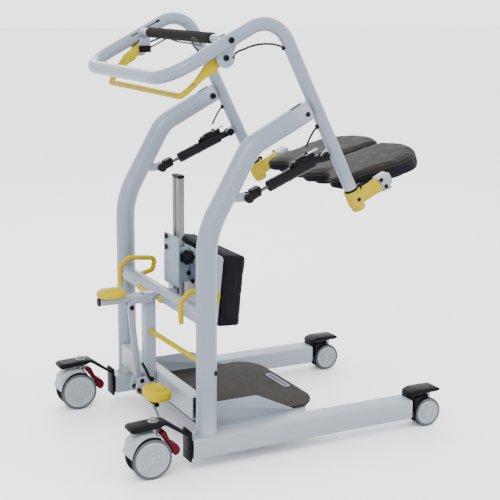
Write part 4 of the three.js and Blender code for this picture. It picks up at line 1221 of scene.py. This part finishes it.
def knee_seam(pad):
    depth, width, height = KNEE_SIZE
    loop = rectangle(width + 1, height + 1, 9, 9)
    return cling([on_knee(depth / 2 - KNEE_SEAM, y, z) for y, z in loop], pad, 1.2)


def knee_plate(shape):
    """The board behind the knee pad, with the carriage's two screws in it."""
    turn = Matrix.Rotation(KNEE_TILT, 3, "Y")
    back = -KNEE_SIZE[0] / 2 - 8.3
    outline = [on_knee(back, y, z) for y, z in rectangle(299, 172, 9)]
    shape.prism(outline, turn @ Vector((7.8, 0, 0)), hood_grey, 1.6)
    for y in (-120, 120):
        for z in (-58, 58):
            shape.bolt(on_knee(back, y, z), turn @ Vector((-1, 0, 0)), 5, 3, black_steel)
    return shape


def knee_carriage(shape):
    """The sleeve that slides on the mast, its back plate and the arm out to the pad's board."""
    shape.prism([(-221.4, y - 19, 457.5 + z) for y, z in rectangle(91, 129, 5)], (3.8, 0, 0), cast_blue, 0.8)
    for z in (514, 486):
        shape.hexagon((-221.4, 8, z), (-1, 0, 0), 7.5, 5, black_steel)
    shape.block((-209.5, 0, 444), (16, 61.6, 91.6), cast_blue, 6, 4)
    shape.block((-175.5, 0, 444), (14.6, 61.6, 91.6), cast_blue, 6, 4)
    for side in (-1, 1):
        shape.block((-193, side * 25.8, 444), (48, 10, 91.6), cast_blue, 4, 3)
        shape.block((-170, side * 21.5, 498), (46, 5, 12), black_steel, 2, 1.2,
                    axes_along(Vector((36, -26))))
    shape.block((-162, 0, 430), (26, 43.6, 63.6), cast_blue, 6, 3)
    shape.rod((-187, -24, 466), (-187, -33, 466), 9, zinc, 28, 1)
    for x, z in ((-178, 421), (-167, 399)):
        shape.bolt((x, -30.6, z), (0, -1, 0), 6, 5, black_steel)
    return shape


def knee_knob(shape):
    """A fluted clamping knob on its threaded stem."""
    count = 72
    rings = []
    for y, shrink in ((-39, 3.0), (-40, 1.2), (-42, 0), (-50, 0), (-52, 1.2), (-53, 4)):
        ring = []
        for k in range(count):
            turn = 2 * math.pi * k / count
            radius = 18 + 1.6 * math.cos(7 * turn) - shrink
            ring.append(Vector((KNOB.x + radius * math.cos(turn), y, KNOB.y + radius * math.sin(turn))))
        rings.append(ring)
    shape.skin(rings, black)
    shape.rod(at(KNOB, -52.5), at(KNOB, -54.5), 7, black_steel, 28, 0.8)
    shape.rod(at(KNOB, -24.2), at(KNOB, -41), 4, zinc, 24, 0.6)
    return shape


# ---------------------------------------------------------------- pedals


def pedal_lever(shape):
    shape.rod((-296, 0, 363), (-409.6, 0, 363), 10.5, paint, 32, 1)
    shape.lathe((-407, 0, 363), (-1, 0, 0), [(0, 0), (11.2, 0), (11.2, 2), (9.4, 4.2), (0, 4.6)], black, 32)
    for side in (-1, 1):
        cheek = [(-286, 352.5), (-267, 354), (-267, 372), (-330, 372), (-330, 354)]
        shape.plate(cheek, side * 18.5, 5, paint, 1, 5)
        tab = [(-335, 334), (-317, 334), (-317, 360), (-335, 360)]
        shape.plate(tab, side * 11, 5, paint, 1, 7)
        shape.bolt(at(LEVER_PIN, side * 21), (0, side, 0), 6.5, 3.5, paint)
        shape.bolt(at(LINK_TOP, side * 13.5), (0, side, 0), 6, 3, black_steel)
    shape.block((-304, 0, 363), (18, 41, 15.6), paint, 3, 1)
    shape.rod(at(LINK_TOP, -12), at(LINK_TOP, 12), 5, zinc, 20, 0.6)
    return shape


def foot_pad(shape, center, size, crown, corner=16):
    """A moulded pedal pad, softly crowned, with grip ribs across it."""
    length, width, height = size
    base = Vector(center)
    rows = []
    edge = ((2.5, 0), (0.6, 1.6), (0, 4), (0, height - 6), (1.4, height - 2.6), (4.5, height - 0.6),
            (9, height))
    for amount, z in edge:
        ring = rectangle(length - 2 * amount, width - 2 * amount, max(corner - amount, 4), 10)
        rows.append([base + Vector((a, b, z)) for a, b in ring])
    inner = rectangle(length - 18, width - 18, 7, 10)
    for s, rise in ((0.7, 0.7), (0.35, 1.0)):
        rows.append([base + Vector((a * s, b * s, height + crown * rise)) for a, b in inner])
    rows.append([base + Vector((0, 0, height + crown))])
    under = [base + Vector((0, 0, 0.4))]
    shape.skin([under] + rows, yellow_plastic, caps=False)
    for k in range(-2, 3):
        x = base.x + k * length * 0.13
        z = base.z + height + crown * (0.9 - 0.12 * abs(k))
        reach = width / 2 - 11
        shape.rod((x, base.y - reach, z), (x, base.y + reach, z), 1.2, yellow_plastic, 10, 0.3)
    return shape


def pedal_link(shape):
    top, bottom = Vector(LINK_TOP), Vector(LINK_BOTTOM)
    side, up = Vector((8, 0)), Vector((0, 8))
    outline = [top - side + up, bottom - side - up, bottom + side - up, top + side + up]
    shape.plate(rounded(outline, 7.6), 0, 8, paint, 1.2)
    return shape


def lower_pedal(shape):
    """The lower pedal's arm: two cheeks on the post, a cross rod, the pad's plate and a bent stem."""
    for side in (-1, 1):
        cheek = [(-269, 141), (-269, 159), (-312, 158), (-321, 130), (-319, 115), (-304, 115)]
        shape.plate(cheek, side * 18.5, 5, hood_grey, 1, 6)
        shape.bolt(at(LOWER_PIN, side * 21), (0, side, 0), 7, 4, black_steel)
        shape.bolt(at(LINK_BOTTOM, side * 21), (0, side, 0), 6, 3, black_steel)
        shape.bolt((-313, side * 21, 126), (0, side, 0), 5, 3, black_steel)
    shape.rod((-304, -19, 149), (-304, 19, 149), 5, zinc, 20, 0.6)
    shape.rod((-312, -139.6, 124), (-312, 21, 124), 6, black, 28, 1)
    shape.block((-308, -118, 132), (38, 32, 7), black, 4, 1.4)
    stem = [(-314, -118, 127), (-312, -118, 115), (-306, -118, 100), (-301, -118, 87)]
    shape.tube(smooth_curve(stem), 3.2, zinc, 16, dome=2)
    arm = [(-304, -24, 196), (-294, -24, 177), (-286, -24, 157), (-278, -24, 149)]
    shape.tube(smooth_curve(arm), 3.6, black_steel, 16, dome=2)
    return shape


# ---------------------------------------------------------------- assembly


def place_pair(name, builder, body, nodes, cutter=None):
    """One piece on each side. Names with {} take near or far."""
    for side in ("near", "far"):
        cutters = [cutter(Shape())] if cutter else []
        stands_for = [n.format(side) for n in nodes]
        piece(f"{side}_{name}_look", builder(Shape()), body.format(side), stands_for, side == "far",
              cutters)


def build_frame():
    place_pair("leg", leg, "base", ["{}_leg"])
    place_pair("upright", upright, "base", ["{}_upright"], fork_slot)
    place_pair("gas_lug", gas_spring_lug, "base", [])
    place_pair("strap_hook", strap_hook, "base", ["{}_strap_hook"])
    place_pair("pivot_bolt", pivot_bolt, "base", ["{}_lift_pivot_bolt"])
    piece("beam_look", beam(Shape()), "base", ["rear_cross_beam"])
    piece("cross_tube_look", cross_tube(Shape()), "base", ["cross_tube"])
    piece("centre_post_look", centre_post(Shape()), "base", ["centre_post"])
    piece("mast_look", mast(Shape()), "base", ["mast"])
    piece("mast_cap_look", mast_cap(Shape()), "base", ["mast_cap"])
    piece("lower_bar_look", lower_bar(Shape()), "base", ["lower_bar"])
    piece("yellow_rail_look", yellow_rail(Shape()), "base")
    piece("tray_look", tray(Shape()), "base", ["footplate_tray"], cutters=[slot_cutter(Shape())])
    soft_mat = piece("mat_look", mat(Shape()), "base", ["footplate_mat"],
                     cutters=[slot_cutter(Shape())])
    piece("slot_rim_look", slot_rim(Shape()), "base")
    place_pair("upright_screws", upright_screws, "base", [])


def upright_screws(shape):
    out = Vector((0.6, -0.8, 0))
    shape.bolt(Vector((-235, Y, 236)) + out * 24.4, out, 6.5, 4, black_steel)
    return shape


def pivot_bolt(shape):
    shape.rod(at(PIVOT, Y - 25), at(PIVOT, Y + 25), 6, zinc)
    shape.bolt(at(PIVOT, Y - 25.2), (0, -1, 0), 6, 4, black_steel, False)
    shape.bolt(at(PIVOT, Y + 25.2), (0, 1, 0), 8.5, 7, black_steel)
    return shape


def build_castors():
    for end, castor, outline, radii, half, top in (
        ("rear", REAR, REAR_BRACKET, REAR_RADII, 22, 135),
        ("front", FRONT, FRONT_BRACKET, FRONT_RADII, 24, 104),
    ):
        place_pair(f"{end}_bracket", lambda s: bracket(s, outline, half, castor.stem_x, top, radii), "base",
                   ["{}_" + end + "_castor_bracket"])
        place_pair(f"{end}_hood", lambda s: hood(s, castor), "{}_" + end + "_castor",
                   ["{}_" + end + "_castor_hood"])
        place_pair(f"{end}_wheels", lambda s: wheels(s, castor), "{}_" + end + "_wheel_pair",
                   ["{}_" + end + "_castor_wheels"])
    place_pair("brake_pedal", brake_pedal, "{}_brake", ["{}_brake_pedal"])


def build_arms():
    tubes = ["near_arm_tube", "handle_loop", "far_arm_tube"]
    piece("arm_frame_look", arm_frame(Shape()), "arms", tubes)
    place_pair("arm_fittings", arm_fittings, "arms", [])
    piece("grip_bar_look", grip_bar(Shape()), "arms", ["grip_bar"])
    sleeve = piece("grip_foam_look", grip_foam(Shape()), "arms", ["grip_foam"])
    piece("cross_cable", cross_cable(Shape()), "arms")
    piece("bail_look", bail(Shape()), "bail", ["release_bail"])
    place_pair("gas_cylinder", gas_cylinder, "{}_gas_cylinder", ["{}_gas_spring_cylinder"])
    place_pair("gas_rod", gas_rod, "{}_gas_rod", ["{}_gas_spring_rod"])
    place_pair("seat_casting", seat_casting, "arms", ["{}_seat_hinge_casting"])
    place_pair("seat_bracket", seat_bracket, "{}_seat", ["{}_seat_bracket"])
    for side in ("near", "far"):
        mirror = side == "far"
        cable = piece(f"{side}_cable_look", release_cable(Shape()), None,
                      [f"{side}_release_cable"], mirror)
        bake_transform(cable)
        pad = piece(f"{side}_seat_pad_look", seat_pad(Shape()), f"{side}_seat",
                    [f"{side}_seat_pad"], mirror)
        padded_cover(pad, seat_held, seat_shaded_side, shaded_side_vinyl)
        piece(f"{side}_seat_seam_look", seat_seam(pad, 1 if mirror else -1), f"{side}_seat")


def build_knee_and_pedals():
    pad = piece("knee_pad_look", knee_pad(Shape()), "knee_support", ["knee_pad"])
    padded_cover(pad, knee_held, knee_shaded_side, shaded_side_vinyl)
    piece("knee_seam_look", knee_seam(pad), "knee_support")
    piece("knee_plate_look", knee_plate(Shape()), "knee_support", ["knee_plate"])
    piece("knee_carriage_look", knee_carriage(Shape()), "knee_support", ["knee_carriage"])
    piece("knee_knob_look", knee_knob(Shape()), "knee_knob", ["knee_knob"])
    piece("pedal_lever_look", pedal_lever(Shape()), "pedal_lever", ["upper_pedal_lever"])
    upper = foot_pad(Shape(), (-375.5, 0, 374.2), (72, 60, 16), 4, 27)
    piece("upper_pad_look", upper, "pedal_lever", ["upper_pedal_pad"])
    piece("pedal_link_look", pedal_link(Shape()), "pedal_link", ["pedal_link"])
    piece("lower_pedal_look", lower_pedal(Shape()), "lower_pedal", ["lower_pedal_arm"])
    lower = foot_pad(Shape(), (-305, -118, 136.6), (60, 84, 24), 6, 26)
    piece("lower_pad_look", lower, "lower_pedal", ["lower_pedal_pad"])


# ---------------------------------------------------------------- studio


def light(name, place, target, size, power):
    lamp = bpy.data.lights.new(name, "AREA")
    lamp.shape = "DISK"
    lamp.size = size
    lamp.energy = power
    holder = bpy.data.objects.new(name, lamp)
    aim = (Vector(target) - Vector(place)).to_track_quat("-Z", "Y")
    holder.matrix_world = Matrix.Translation(place) @ aim.to_matrix().to_4x4()
    bpy.context.collection.objects.link(holder)


def build_studio():
    size = 30.0
    mesh = bpy.data.meshes.new("floor")
    corners = [(-size, -size, 0), (size, -size, 0), (size, size, 0), (-size, size, 0)]
    mesh.from_pydata(corners, [], [(0, 1, 2, 3)])
    floor = bpy.data.objects.new("floor", mesh)
    bpy.context.collection.objects.link(floor)
    pale = surface("floor", (0.92, 0.92, 0.925), 0.45, mottle=0.004, mottle_scale=2, spread=0.03)
    mesh.materials.append(pale)
    world = bpy.data.worlds.new("studio")
    world.use_nodes = True
    background = world.node_tree.nodes["Background"]
    background.inputs["Color"].default_value = (0.97, 0.98, 1.0, 1)
    background.inputs["Strength"].default_value = 2.8
    bpy.context.scene.world = world
    light("key", (-2.2, -2.2, 3.4), (0, 0, 0.5), 1.8, 110)
    light("fill", (2.6, -1.8, 2.2), (0, 0, 0.5), 2.2, 20)
    light("rim", (0.6, 3.0, 2.6), (0, 0, 0.6), 1.8, 40)


set_camera()
build_frame()
build_castors()
build_arms()
build_knee_and_pedals()
build_studio()
